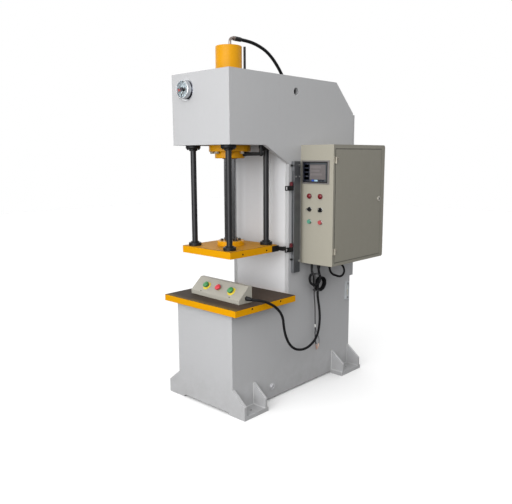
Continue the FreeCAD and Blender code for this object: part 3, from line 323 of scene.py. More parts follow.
# ------------------------------------------------------------------ mesh helpers
class Geo:
    """Collects closed pieces into one mesh, with a material index per face."""

    def __init__(self):
        self.v, self.f, self.mi, self.sm = [], [], [], []

    def add(self, verts, faces, mi=0, smooth=False):
        o = len(self.v)
        self.v += [Vector(p) for p in verts]
        for k in faces:
            self.f.append([i + o for i in k])
            self.mi.append(mi)
            self.sm.append(smooth)
        return self

    def hull(self, points, mi=0, smooth=False):
        bm = bmesh.new()
        for p in points:
            bm.verts.new(p)
        bmesh.ops.convex_hull(bm, input=bm.verts)
        loose = [v for v in bm.verts if not v.link_faces]
        if loose:
            bmesh.ops.delete(bm, geom=loose, context="VERTS")
        bmesh.ops.dissolve_limit(bm, angle_limit=0.01, verts=bm.verts, edges=bm.edges)
        bm.normal_update()
        bm.verts.index_update()
        idx = {v: i for i, v in enumerate(bm.verts)}
        vs = [v.co.copy() for v in bm.verts]
        fs = [[idx[v] for v in fc.verts] for fc in bm.faces]
        bm.free()
        return self.add(vs, fs, mi, smooth)

    def box(self, lo, hi, mi=0, c=0.0, at=None):
        """Box from lo to hi (metres) with edges cut back by c; at is a matrix."""
        pts = []
        for sx in (0, 1):
            for sy in (0, 1):
                for sz in (0, 1):
                    base = [(lo[0], hi[0])[sx], (lo[1], hi[1])[sy], (lo[2], hi[2])[sz]]
                    if c <= 0:
                        pts.append(Vector(base))
                        continue
                    ins = [(c if s == 0 else -c) for s in (sx, sy, sz)]
                    for k in range(3):
                        p = list(base)
                        for j in range(3):
                            if j != k:
                                p[j] += ins[j]
                        pts.append(Vector(p))
        if at is not None:
            pts = [at @ p for p in pts]
        return self.hull(pts, mi)

    def lathe(self, origin, axis, profile, segs=24, mi=0, smooth=True, closed=True):
        """profile: [(radius, height), ...] from the bottom to the top along axis; a closed solid."""
        q = axis_frame(origin, axis)
        verts, faces, rings = [], [], []
        for r, h in profile:
            if r < 1e-9:
                verts.append(q @ Vector((0, 0, h)))
                rings.append([len(verts) - 1])
            else:
                ring = []
                for k in range(segs):
                    a = 2 * math.pi * k / segs
                    verts.append(q @ Vector((r * math.cos(a), r * math.sin(a), h)))
                    ring.append(len(verts) - 1)
                rings.append(ring)
        for a, b in zip(rings[:-1], rings[1:]):
            if len(a) == 1 and len(b) == 1:
                continue
            for k in range(segs):
                n = (k + 1) % segs
                if len(a) == 1:
                    faces.append([a[0], b[n], b[k]])
                elif len(b) == 1:
                    faces.append([a[k], a[n], b[0]])
                else:
                    faces.append([a[k], a[n], b[n], b[k]])
        if closed:
            if len(rings[0]) > 1:
                faces.append(list(reversed(rings[0])))
            if len(rings[-1]) > 1:
                faces.append(rings[-1])
        return self.add(verts, faces, mi, smooth)

    def ring(self, origin, axis, profile, segs=32, mi=0, smooth=True):
        """profile is a closed loop of (radius, height) that doesn't touch the axis."""
        q = axis_frame(origin, axis)
        verts, faces = [], []
        m = len(profile)
        for k in range(segs):
            a = 2 * math.pi * k / segs
            for r, h in profile:
                verts.append(q @ Vector((r * math.cos(a), r * math.sin(a), h)))
        for k in range(segs):
            n = (k + 1) % segs
            for j in range(m):
                i = (j + 1) % m
                faces.append([k * m + j, n * m + j, n * m + i, k * m + i])
        return self.add(verts, faces, mi, smooth)

    def recess_head(self, origin, axis, r, h, kind, size, depth, mi=0, dome=0.12, segs=24, spin=0.0):
        """Screw head with a driving recess: kind is hex, cross or slot."""
        q = axis_frame(origin, axis)

        def inner(a):
            a += spin
            if kind == "hex":
                t = (a % (math.pi / 3)) - math.pi / 6
                return size / 2 / math.cos(t)
            if kind == "slot":
                w = size * 0.16
                return min(size / 2 / max(abs(math.cos(a)), 1e-6), w / max(abs(math.sin(a)), 1e-6))
            w = size * 0.17
            one = min(size / 2 / max(abs(math.cos(a)), 1e-6), w / max(abs(math.sin(a)), 1e-6))
            two = min(size / 2 / max(abs(math.sin(a)), 1e-6), w / max(abs(math.cos(a)), 1e-6))
            return max(one, two)

        levels = [(lambda a: r, 0.0), (lambda a: r, h * 0.62), (lambda a: r * 0.9, h * 0.9),
                  (lambda a: max(r * 0.72, inner(a) * 1.08), h), (inner, h + dome * h * 0.2), (lambda a: inner(a) * 0.92, h - depth)]
        verts, faces = [], []
        for fn, z in levels:
            for k in range(segs):
                a = 2 * math.pi * k / segs
                rr = fn(a)
                verts.append(q @ Vector((rr * math.cos(a), rr * math.sin(a), z)))
        for lvl in range(len(levels) - 1):
            for k in range(segs):
                n = (k + 1) % segs
                faces.append([lvl * segs + k, lvl * segs + n, (lvl + 1) * segs + n, (lvl + 1) * segs + k])
        faces.append([k for k in reversed(range(segs))])
        faces.append([(len(levels) - 1) * segs + k for k in range(segs)])
        return self.add(verts, faces, mi, False)

    def sweep(self, path, radii, segs=12, mi=0, smooth=True, squash=None, phase=0.0):
        """Round tube along path; radii is a number or one per point. squash=(vector, factor) flattens."""
        n = len(path)
        if not hasattr(radii, "__len__"):
            radii = [radii] * n
        tang = []
        for i in range(n):
            a, b = path[max(0, i - 1)], path[min(n - 1, i + 1)]
            tang.append((b - a).normalized())
        ref = Vector((0, 0, 1)) if abs(tang[0].z) < 0.9 else Vector((1, 0, 0))
        side = (ref - tang[0] * ref.dot(tang[0])).normalized()
        verts, faces = [], []
        for i in range(n):
            if i:
                rot = tang[i - 1].rotation_difference(tang[i])
                side = rot @ side
                side = (side - tang[i] * side.dot(tang[i])).normalized()
            other = tang[i].cross(side)
            for k in range(segs):
                a = 2 * math.pi * k / segs + phase
                off = side * (math.cos(a) * radii[i]) + other * (math.sin(a) * radii[i])
                if squash is not None:
                    w, fct = squash
                    off = off - w * (off.dot(w) * (1 - fct))
                verts.append(path[i] + off)
        for i in range(n - 1):
            for k in range(segs):
                m = (k + 1) % segs
                faces.append([i * segs + k, i * segs + m, (i + 1) * segs + m, (i + 1) * segs + k])
        faces.append([k for k in reversed(range(segs))])
        faces.append([(n - 1) * segs + k for k in range(segs)])
        return self.add(verts, faces, mi, smooth)

    def band(self, path, width_dir, width, thick, mi=0, closed=False, smooth=False):
        """Flat strap along path: width along width_dir (unit vector), thickness outwards."""
        n = len(path)
        verts, faces = [], []
        for i in range(n):
            a = path[(i - 1) % n] if closed or i else path[0]
            b = path[(i + 1) % n] if closed or i < n - 1 else path[-1]
            t = (b - a).normalized()
            o = t.cross(width_dir).normalized()
            for s1, s2 in ((-1, -1), (1, -1), (1, 1), (-1, 1)):
                verts.append(path[i] + width_dir * (s1 * width / 2) + o * (s2 * thick / 2))
        last = n if closed else n - 1
        for i in range(last):
            j = (i + 1) % n
            for k in range(4):
                m = (k + 1) % 4
                faces.append([i * 4 + k, i * 4 + m, j * 4 + m, j * 4 + k])
        if not closed:
            faces.append([3, 2, 1, 0])
            faces.append([(n - 1) * 4 + k for k in range(4)])
        return self.add(verts, faces, mi, smooth)

    def make(self, name, mats, body):
        me = bpy.data.meshes.new(name)
        me.from_pydata([tuple(p) for p in self.v], [], self.f)
        for m in mats:
            me.materials.append(m)
        for p, mi, sm in zip(me.polygons, self.mi, self.sm):
            p.material_index = mi
            p.use_smooth = sm
        bm = bmesh.new()
        bm.from_mesh(me)
        bmesh.ops.remove_doubles(bm, verts=bm.verts, dist=1e-7)
        bmesh.ops.recalc_face_normals(bm, faces=bm.faces)
        bm.to_mesh(me)
        bm.free()
        me.update()
        ob = link(bpy.data.objects.new(name, me))
        if any(self.sm):
            me.set_sharp_from_angle(angle=math.radians(35))
        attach(ob, body)
        return ob


def axis_frame(origin, axis):
    a = Vector(axis).normalized()
    return Matrix.Translation(Vector(origin)) @ a.to_track_quat("Z", "Y").to_matrix().to_4x4()


def nurbs(name, points, bevel=0.0, res=10):
    cu = bpy.data.curves.new(name, "CURVE")
    cu.dimensions = "3D"
    cu.twist_mode = "MINIMUM"
    sp = cu.splines.new("NURBS")
    sp.points.add(len(points) - 1)
    for p, q in zip(sp.points, points):
        p.co = (q[0], q[1], q[2], 1.0)
    sp.order_u = 3
    sp.use_endpoint_u = True
    sp.resolution_u = res
    cu.resolution_u = res
    cu.bevel_depth = bevel
    cu.bevel_resolution = 6
    cu.use_fill_caps = bevel > 0
    return link(bpy.data.objects.new(name, cu))


def centreline(points, res=14):
    """Points of the smooth NURBS line through a route's control points."""
    ob = nurbs("line", points, 0.0, res)
    me = bpy.data.meshes.new_from_object(ob)
    line = [v.co.copy() for v in me.vertices]
    bpy.data.meshes.remove(me)
    cu = ob.data
    bpy.data.objects.remove(ob)
    bpy.data.curves.remove(cu)
    return line


def spaced(line, step):
    """The same line with points a step apart."""
    length = [0.0]
    for a, b in zip(line[:-1], line[1:]):
        length.append(length[-1] + (b - a).length)
    total = length[-1]
    n = max(2, int(round(total / step)))
    out, j = [], 0
    for i in range(n + 1):
        s = total * i / n
        while j < len(line) - 2 and length[j + 1] < s:
            j += 1
        seg = length[j + 1] - length[j]
        t = 0.0 if seg < 1e-9 else (s - length[j]) / seg
        out.append(line[j].lerp(line[j + 1], min(1.0, max(0.0, t))))
    return out, total


# ------------------------------------------------------------------ cords' materials
M_CONDUIT = plastic("m_conduit", (0.005, 0.005, 0.006), rough=(0.42, 0.56), var=0.25, grain=1400, bump=0.08, dust=0.06,
                    dust_col=(0.08, 0.076, 0.072), spec=0.13)
M_HOSE = plastic("m_hose", (0.005, 0.005, 0.006), rough=(0.4, 0.55), var=0.2, grain=1800, bump=0.12, dust=0.05,
                 dust_col=(0.08, 0.08, 0.08), spec=0.15)
M_JACKET = plastic("m_jacket", (0.055, 0.053, 0.055), rough=(0.4, 0.55), var=0.15, grain=1500, bump=0.05, dust=0.2,
                   dust_col=(0.2, 0.19, 0.18))
M_CORE = plastic("m_core", (0.03, 0.03, 0.035), rough=(0.35, 0.5), var=0.15, grain=1500, bump=0.03, dust=0.05)
M_COPPER = metal("m_copper", (0.8, 0.47, 0.33), rough=(0.3, 0.45), grain=(1, 1, 0.1), grain_scale=900, bump=0.2)
M_TIE = plastic("m_tie", (0.03, 0.03, 0.032), rough=(0.35, 0.5), var=0.1, grain=2400, bump=0.05)
M_TAG = plastic("m_tag", (0.78, 0.78, 0.75), rough=(0.4, 0.5), var=0.04, grain=900, bump=0.04)

# ------------------------------------------------------------------ cords
CONDUIT = [
    (266.9, 135.26, 713.8), (300.0, 133.8, 713.8), (347.0, 158.6, 713.2), (370.0, 207.4, 690.3),
    (374.0, 272.0, 648.0), (370.0, 326.0, 586.0), (364.0, 343.0, 506.0), (359.0, 372.7, 430.2),
    (354.0, 423.8, 365.6), (348.0, 492.1, 323.9), (341.0, 580.0, 304.3), (333.0, 667.5, 313.9),
    (324.0, 744.0, 357.0), (316.0, 778.3, 439.7), (310.0, 782.7, 524.2), (304.0, 775.0, 588.0),
    (301.0, 768.0, 632.0),
    # the surplus, wound twice round a large loop and once round a small one
    (305.5, 764.7, 676.0), (306.5, 764.7, 704.0), (305.3, 770.8, 726.5), (304.5, 787.3, 743.0),
    (304.0, 809.8, 749.0), (303.5, 832.4, 743.0), (302.7, 848.9, 726.5), (301.5, 855.0, 704.0),
    (299.8, 849.0, 681.5), (297.6, 832.6, 665.0), (295.1, 810.2, 659.0), (292.7, 787.8, 665.0),
    (290.5, 771.4, 681.5), (288.7, 765.5, 704.0), (287.5, 771.6, 726.5), (286.7, 788.1, 743.0),
    (286.2, 810.6, 749.0), (285.7, 833.2, 743.0), (285.0, 849.7, 726.5), (283.7, 855.8, 704.0),
    (282.0, 849.8, 681.5), (279.8, 833.4, 665.0), (277.3, 811.0, 659.0), (274.9, 788.6, 665.0),
    (272.7, 772.2, 681.5), (270.9, 766.2, 704.0), (271.5, 766.2, 745.0), (275.6, 761.2, 763.0),
    (278.6, 748.0, 776.2), (281.0, 729.9, 781.0), (283.5, 711.8, 776.2), (286.5, 698.5, 763.0),
    (290.5, 693.5, 745.0), (295.8, 698.1, 727.0), (302.0, 711.0, 713.8), (308.8, 728.7, 709.0),
    (315.7, 746.3, 713.8), (321.9, 759.2, 727.0), (325.5, 764.9, 746.0), (320.6, 766.6, 771.0),
    (309.0, 769.8, 795.0), (306.0, 770.0, 815.0), (306.0, 770.0, 836.0)]
SUPPLY = [
    (285.0, 722.0, 844.0), (285.0, 722.0, 810.0), (293.0, 742.0, 774.0), (294.0, 750.0, 733.0),
    (288.0, 751.0, 690.0), (280.0, 757.0, 650.0), (271.0, 772.0, 608.0), (268.0, 784.0, 560.0),
    (268.0, 787.0, 500.0), (268.0, 788.0, 444.0), (267.0, 792.0, 390.0), (268.0, 789.0, 334.0),
    (270.0, 795.0, 282.0), (272.0, 806.0, 232.0)]
LOOP = [
    (352.0, 831.0, 836.0), (352.0, 831.0, 810.0), (355.0, 843.5, 786.0), (356.0, 868.0, 767.5),
    (354.0, 899.0, 758.0), (353.0, 930.0, 746.5), (354.5, 960.5, 740.0), (356.0, 988.5, 749.5),
    (353.0, 1006.5, 771.5), (342.3, 1013.2, 795.4), (326.1, 1012.0, 813.0), (304.0, 1012.0, 822.0),
    (284.0, 1012.0, 822.0)]
HOSE = [
    (0.0, 348.0, 2279.0), (0.0, 420.0, 2279.0), (0.0, 505.0, 2266.0), (0.0, 596.0, 2236.0),
    (0.0, 675.0, 2179.0), (0.0, 739.0, 2111.0), (0.0, 786.0, 2042.0), (0.0, 806.0, 1972.0)]


def ribbed(name, route, diameter, depth, pitch, mat, body, segs=12, plain_ends=0.012):
    """Corrugated conduit along the route's smooth line."""
    line = centreline([W(*p) for p in route])
    pts, total = spaced(line, pitch / 4.0)
    radii = []
    for i in range(len(pts)):
        s = total * i / (len(pts) - 1)
        if s < plain_ends or s > total - plain_ends:
            radii.append(diameter / 2)
        else:
            radii.append(diameter / 2 - (0.0, 0.0, depth * 0.85, depth)[i % 4])
    g = Geo()
    g.sweep(pts, radii, segs, 0, True)
    ob = g.make(name, [mat], body)
    return ob, pts[::4] + ([pts[-1]] if (len(pts) - 1) % 4 else []), total


conduit, conduit_line, conduit_len = ribbed("conduit", CONDUIT, 0.0168, 0.0009, 0.0048, M_CONDUIT, "frame")
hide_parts("console_conduit", "conduit_loops")
loop, loop_line, loop_len = ribbed("cabinet_loop", LOOP, 0.015, 0.0008, 0.0044, M_CONDUIT, "frame")
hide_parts("cabinet_conduit")
hose = nurbs("hose", [W(*p) for p in HOSE], 0.0105, 16)
hose.data.materials.append(M_HOSE)
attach(hose, "frame")
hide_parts("pressure_hose")

# supply cable: jacket to below its tag, then its three cores twisted together, bared at the ends
sup_line, sup_len = spaced(centreline([W(*p) for p in SUPPLY]), 0.004)
n_jacket = int(len(sup_line) * 0.735)
g = Geo()
rad = [0.004] * n_jacket
rad[-1] = 0.0036
g.sweep(sup_line[:n_jacket], rad, 14, 0)
for k in range(3):
    core, tip = [], []
    for i in range(n_jacket - 4, len(sup_line)):
        t = (sup_line[min(i + 1, len(sup_line) - 1)] - sup_line[i - 1]).normalized()
        side = t.cross(Vector((0, 1, 0))).normalized()
        other = t.cross(side)
        spread = 0.0021 + 0.0026 * max(0.0, (i - n_jacket) / (len(sup_line) - n_jacket)) ** 2
        a = 2 * math.pi * k / 3 + 0.26 * (i - n_jacket)
        p = sup_line[i] + side * (math.cos(a) * spread) + other * (math.sin(a) * spread)
        core.append(p)
    g.sweep(core[:-10], 0.0019, 10, 1)
    g.sweep(core[-11:], 0.0016, 8, 2)
supply = g.make("supply", [M_JACKET, M_CORE, M_COPPER], "frame")
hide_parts("supply_cable")
# the tag, and one core that has sprung away from the others
tag_at = sup_line[int(len(sup_line) * 0.715)]
g = Geo()
g.ring(tag_at - Vector((0, 0, 0.010)), (0, 0, 1), [(0.0042, 0), (0.0054, 0), (0.0054, 0.020), (0.0042, 0.020)], 20, 0)
g.box((-0.0006, 0.0045, -0.009), (0.0006, 0.0205, 0.009), 0, 0.0003, Matrix.Translation(tag_at) @ Matrix.Rotation(math.radians(-150), 4, "Z"))
tag = g.make("supply_tag", [M_TAG], "frame")
j0 = sup_line[n_jacket - 3]
stray_pts = [j0, j0 + Vector((0.001, 0.003, -0.012)), W(271, 806, 352), W(275, 824, 318), W(276, 828, 284), W(274, 818, 254), W(272, 812, 238)]
stray_line, _ = spaced(centreline(stray_pts), 0.004)
g = Geo()
g.sweep(stray_line[:-9], 0.0019, 10, 0)
g.sweep(stray_line[-10:], 0.0016, 8, 1)
stray = g.make("supply_stray_core", [M_CORE, M_COPPER], "frame")

# ------------------------------------------------------------------ materials of the record's slots
GREY = (0.4, 0.402, 0.41)
YELLOW = (0.58, 0.262, 0.002)
M = {}
M["frame_paint"] = painted("m_frame", GREY, var=0.03, dirt=0.12, edge_light=0.3, wear=0.25, edge_r=0.003, rough=(0.38, 0.52))
M["cover_paint"] = painted("m_cover", (0.37, 0.372, 0.38), var=0.03, dirt=0.12, edge_light=0.25, wear=0.2, rough=(0.4, 0.55))
M["platen_paint"] = painted("m_yellow", YELLOW, var=0.05, dirt=0.08, low_dirt=False, edge_light=0.15, wear=0.5, rough=(0.24, 0.38),
                            spec=0.14, peel=0.1, peel_scale=520, worn=(0.2, 0.17, 0.14))
M["cabinet_paint"] = painted("m_cabinet", (0.285, 0.27, 0.222), var=0.03, dirt=0.1, low_dirt=False, edge_light=0.3, wear=0.15, edge_r=0.002,
                             peel=0.5, peel_scale=900, rough=(0.45, 0.6))
M["console_paint"] = painted("m_console", (0.305, 0.292, 0.252), var=0.03, dirt=0.12, low_dirt=False, edge_light=0.25, wear=0.2, edge_r=0.0012,
                             peel=0.25, peel_scale=700, rough=(0.4, 0.55))
M["motor_paint"] = painted("m_motor", (0.1, 0.16, 0.2), var=0.08, dirt=0.25, low_dirt=False, edge_light=0.2, wear=0.5, rough=(0.35, 0.5))
M["dark_steel"] = metal("m_dark_steel", (0.011, 0.011, 0.012), metallic=0.15, spec=0.22, rough=(0.28, 0.42), grain=(1, 1, 8), var=0.2, bump=0.05)
M["bolt_black"] = metal("m_bolt_black", (0.035, 0.034, 0.034), rough=(0.3, 0.48), grain_scale=500, var=0.25, bump=0.12)
M["bush_steel"] = metal("m_bush", (0.009, 0.009, 0.01), metallic=0.1, spec=0.22, rough=(0.34, 0.48), grain=(1, 1, 10), var=0.2, bump=0.05)
M["zinc_steel"] = metal("m_zinc", (0.5, 0.5, 0.48), rough=(0.25, 0.42), grain_scale=300, var=0.14, bump=0.1, spots=0.15)
M["gauge_chrome"] = metal("m_chrome", (0.62, 0.63, 0.64), rough=(0.07, 0.16), grain_scale=140, var=0.08, bump=0.03)
M["bezel_chrome"] = metal("m_bezel", (0.6, 0.61, 0.62), rough=(0.1, 0.2), grain_scale=400, var=0.08, bump=0.04)
M["chromed_rod"] = metal("m_rod", (0.3, 0.3, 0.31), rough=(0.14, 0.26), grain=(1, 1, 14), grain_scale=320, var=0.12, bump=0.04)
M["black_rod"] = metal("m_black_rod", (0.012, 0.012, 0.014), metallic=0.15, spec=0.35, rough=(0.26, 0.38), grain=(1, 1, 12), grain_scale=320, var=0.3, bump=0.04)
M["rail_aluminium"] = metal("m_rail", (0.16, 0.165, 0.17), rough=(0.3, 0.45), grain=(8, 8, 0.3), grain_scale=240, var=0.12, bump=0.06)
M["gauge_aluminium"] = metal("m_level", (0.62, 0.63, 0.64), rough=(0.25, 0.4), grain=(6, 6, 0.5), grain_scale=260, var=0.08, bump=0.06)
M["needle_black"] = plastic("m_needle_black", (0.02, 0.02, 0.02), rough=(0.3, 0.4), bump=0.02)
M["needle_red"] = plastic("m_needle_red", (0.55, 0.02, 0.012), rough=(0.25, 0.35), bump=0.02, coat=0.3)
M["panel_plastic"] = plastic("m_panel", (0.15, 0.14, 0.135), rough=(0.42, 0.55), var=0.04, grain=1300, bump=0.16, edge_r=0.0012)
M["knob_black"] = plastic("m_knob", (0.007, 0.007, 0.008), rough=(0.38, 0.5), bump=0.05, spec=0.2, dust=0.03)
M["button_green"] = plastic("m_green", (0.07, 0.27, 0.185), rough=(0.28, 0.4), var=0.05, bump=0.02, coat=0.15, edge_r=0.0012)
M["button_red"] = plastic("m_red", (0.4, 0.062, 0.068), rough=(0.28, 0.4), var=0.05, bump=0.02, coat=0.15, edge_r=0.0012)
M["gear_plastic"] = plastic("m_gear", (0.3, 0.3, 0.29), rough=(0.4, 0.55), var=0.05)
M["gland_plastic"] = plastic("m_gland", (0.01, 0.01, 0.011), rough=(0.38, 0.52), bump=0.06, spec=0.25, dust=0.05)
M["legend_yellow"] = plastic("m_legend", (0.8, 0.5, 0.02), rough=(0.3, 0.42))

q = Mat("m_glass")
q.set(Base_Color=(0.95, 0.98, 0.97))
q.b.inputs["Transmission Weight"].default_value = 1.0
q.b.inputs["IOR"].default_value = 1.45
q.put(q.b.inputs["Roughness"], q.remap(q.noise(40, 4, 0.6), 0.45, 0.8, 0.01, 0.06))
M["gauge_glass"] = q.m

q = Mat("m_screen")
glow = q.noise(9.0, 3, 0.5)
q.set(Base_Color=q.mix(glow, (0.035, 0.04, 0.045), (0.06, 0.068, 0.075)))
q.put(q.b.inputs["Roughness"], q.remap(q.noise(60, 4, 0.6), 0.3, 0.8, 0.12, 0.22))
q.b.inputs["Coat Weight"].default_value = 0.5
q.b.inputs["Coat Roughness"].default_value = 0.05
M["screen_glass"] = q.m

# lamp lens: dark red, mottled, slightly translucent, with a fine bump
q = Mat("m_lamp")
x, y, z = q.xyz()
r2 = q.noise(60, 3, 0.5)
q.set(Base_Color=q.mix(r2, (0.1, 0.004, 0.008), (0.17, 0.006, 0.012)))
q.put(q.b.inputs["Roughness"], q.remap(q.noise(80, 3, 0.5), 0.3, 0.7, 0.24, 0.36))
q.b.inputs["Specular IOR Level"].default_value = 0.3
q.b.inputs["Coat Weight"].default_value = 0.15
q.b.inputs["Coat Roughness"].default_value = 0.12
q.b.inputs["Subsurface Weight"].default_value = 0.2
q.b.inputs["Subsurface Radius"].default_value = (0.004, 0.001, 0.001)
q.put(q.b.inputs["Normal"], q.bump(q.noise(900, 1, 0.4), 0.06, 0.0002, q.bevel(0.0008)))
M["lamp_red"] = q.m

# two-surface plates: machined top and underside, yellow edges
def plate_mat(name, top, rough, shine, lo, hi, painted_reflections=False):
    """lo, hi: the plate's lowest and highest corner; side faces within it are the bores."""
    q = Mat(name)
    cy, ry, ny = paint_layers(q, YELLOW, var=0.05, dirt=0.06, low_dirt=False, edge_light=0.15, wear=0.6, edge_r=0.0016,
                              peel=0.1, peel_scale=520, rough=(0.26, 0.4), worn=(0.22, 0.18, 0.15))
    cm, rm, nm = metal_layers(q, top, rough=rough, grain=(0.35, 9.0, 1.0), grain_scale=150, var=0.16, bump=0.05, edge_r=0.0012,
                              spots=0.35, spot_col=shade(top, 0.45))
    # long cutter marks and a few stains
    marks = q.noise(3.2, 4, 0.7, q.stretched((1.0, 5.0, 1.0)))
    cm = q.mix(q.remap(marks, 0.48, 0.7, 0.0, 0.45), cm, shade(top, 0.62))
    oil = q.remap(q.noise(5.5, 5, 0.65, distort=0.6), 0.55, 0.68)
    cm = q.mix(q.math("MULTIPLY", oil, 0.35), cm, shade(top, 0.5))
    if painted_reflections:
        # painted reflection: the top grows lighter towards the +x end, and a yellow-brown band along the front edge is
        # painted as the yellow edge's reflection
        px, py, pz = q.xyz()
        cm = q.mix(q.remap(px, lo.x + 0.15, hi.x, 0.0, 0.4), cm, shade(top, 2.3))
        yellow_edge_reflection = q.math("MULTIPLY", q.remap(py, lo.y + 0.004, lo.y + 0.05, 1.0, 0.0), q.remap(q.noise(8, 4, 0.6), 0.35, 0.6, 0.25, 0.9))
        cm = q.mix(yellow_edge_reflection, cm, (0.155, 0.112, 0.036))
    nz = q.normal_xyz()[2]
    flat = q.remap(q.math("ABSOLUTE", nz), 0.80, 0.86)
    x, y, z = q.xyz()
    # bore walls are coloured near-black: painted shade in the holes
    bore = q.math("MULTIPLY", q.math("MULTIPLY", q.remap(x, lo.x + 0.0005, lo.x + 0.0008), q.remap(x, hi.x - 0.0008, hi.x - 0.0005, 1.0, 0.0)),
                  q.math("MULTIPLY", q.remap(y, lo.y + 0.0005, lo.y + 0.0008), q.remap(y, hi.y - 0.0008, hi.y - 0.0005, 1.0, 0.0)))
    cy = q.mix(bore, cy, (0.022, 0.018, 0.014))
    q.set(Base_Color=q.mix(flat, cy, cm), Roughness=q.mixf(flat, ry, rm), Metallic=q.mixf(flat, 0.0, shine))
    mixn = q.n("ShaderNodeMix")
    mixn.data_type = "VECTOR"
    q.put(mixn.inputs[0], flat)
    q.put(mixn.inputs[4], ny)
    q.put(mixn.inputs[5], nm)
    q.put(q.b.inputs["Normal"], mixn.outputs[1])
    q.b.inputs["Specular IOR Level"].default_value = 0.05
    return q.m


M_TABLE = plate_mat("m_table", (0.048, 0.034, 0.025), (0.5, 0.64), 0.02, W(-326, -43, 643), W(326, 503, 683), True)
M_PLATEN = plate_mat("m_platen", (0.49, 0.225, 0.014), (0.42, 0.56), 0.02, W(-218, 27, 964), W(218, 446, 1008))

# gauge: chromed flange and front ring, polished grey case with a painted dark band at its root (painted shadow and dark
# reflection where case meets flange), pale blue-grey dial
q = Mat("m_gauge_case")
x, y, z = q.xyz()
cc, rc, nc = metal_layers(q, (0.7, 0.71, 0.73), rough=(0.06, 0.14), grain_scale=140, var=0.08, bump=0.03)
front = q.remap(y, -0.6482, -0.6480, 1.0, 0.0)
back = q.remap(y, -0.6203, -0.6202)
centre = W(-115, 0, 1961)
flatp = q.n("ShaderNodeCombineXYZ")
q.put(flatp.inputs[0], x)
q.put(flatp.inputs[2], z)
rdist = q.distance(flatp.outputs[0], (centre.x, 0.0, centre.z))
inside = q.remap(rdist, 0.0524, 0.0526, 1.0, 0.0)
shiny = q.math("MAXIMUM", front, q.math("MULTIPLY", back, q.remap(rdist, 0.0562, 0.0563)), clamp=True)
# dark band on the case next to the flange: painted shadow and dark reflection
root_shadow_band = q.remap(y, -0.6262, -0.6258)
dark = q.mix(root_shadow_band, q.mix(q.noise(50, 4), (0.46, 0.48, 0.5), (0.54, 0.56, 0.59)), (0.03, 0.032, 0.045))
inner = q.math("MULTIPLY", inside, q.math("SUBTRACT", 1.0, front))
col = q.mix(shiny, dark, cc)
col = q.mix(inner, col, q.mix(q.noise(90, 4), (0.40, 0.45, 0.50), (0.47, 0.52, 0.57)))
q.set(Base_Color=col, Metallic=q.math("MULTIPLY", q.mixf(shiny, 0.85, 1.0), q.math("SUBTRACT", 1.0, inner)),
      Roughness=q.mixf(inner, q.mixf(shiny, 0.16, rc), 0.45), Normal=nc)
M_GAUGE = q.m

# set pointer: red behind the glass, dark turning knob in front of it
q = Mat("m_set_pointer")
y = q.xyz()[1]
knob = q.remap(y, -0.6490, -0.6489, 1.0, 0.0)
mid = W(-115, 0, 1961)
flat2 = q.n("ShaderNodeCombineXYZ")
xs, ys, zs = q.xyz()
q.put(flat2.inputs[0], xs)
q.put(flat2.inputs[2], zs)
knob = q.math("MAXIMUM", knob, q.remap(q.distance(flat2.outputs[0], (mid.x, 0.0, mid.z)), 0.0078, 0.0080, 1.0, 0.0), clamp=True)
q.set(Base_Color=q.mix(knob, q.mix(q.noise(60, 3), (0.5, 0.012, 0.014), (0.6, 0.02, 0.02)), q.mix(q.noise(80, 3), (0.02, 0.018, 0.022), (0.045, 0.04, 0.05))),
      Roughness=q.remap(q.noise(70, 4), 0.3, 0.7, 0.22, 0.36), Normal=q.bump(q.noise(900, 2), 0.05, 0.0001, q.bevel(0.0006)))
M_SETP = q.m

# console plates: yellow discs below, silver collars above, black blocks inside
tt = math.radians(-2.561)
vy, vz = 82.3, 102.1 - 26.4
sl = math.hypot(vy, vz)
n_local = (0.0, -vz / sl, vy / sl)
slope_n = Vector((math.cos(tt) * n_local[0] - math.sin(tt) * n_local[1], math.sin(tt) * n_local[0] + math.cos(tt) * n_local[1], n_local[2]))


def box_point(u, v, h):
    return (-220.6 + math.cos(tt) * u - math.sin(tt) * v, 94.6 + math.sin(tt) * u + math.cos(tt) * v, 683.0 + h)


def on_slope(u, s, h):
    """Point on the console's slope: u along it, s up it from the lip, h out of it (mm)."""
    v = s * vy / sl
    z = 26.4 + s * vz / sl
    p = Vector(W(*box_point(u, v, z)))
    return p + slope_n * (h / 1000.0)


q = Mat("m_legend_plates")
h = q.math("SUBTRACT", q.dot(q.coord.outputs["Object"], slope_n), on_slope(0, 0, 0).dot(slope_n))
col = q.mix(q.remap(h, 0.00165, 0.0017), q.mix(q.noise(60, 4), (0.6, 0.46, 0.03), (0.68, 0.53, 0.045)), (0.32, 0.32, 0.32))
col = q.mix(q.remap(h, -0.0002, -0.0001, 1.0, 0.0), col, (0.02, 0.02, 0.02))
q.set(Base_Color=col, Metallic=q.remap(h, 0.00165, 0.0017, 0.0, 0.8), Roughness=q.remap(q.noise(120, 4), 0.3, 0.7, 0.26, 0.4),
      Normal=q.bump(q.noise(1200, 2), 0.05, 0.0001, q.bevel(0.0006)))
M_LEGEND = q.m


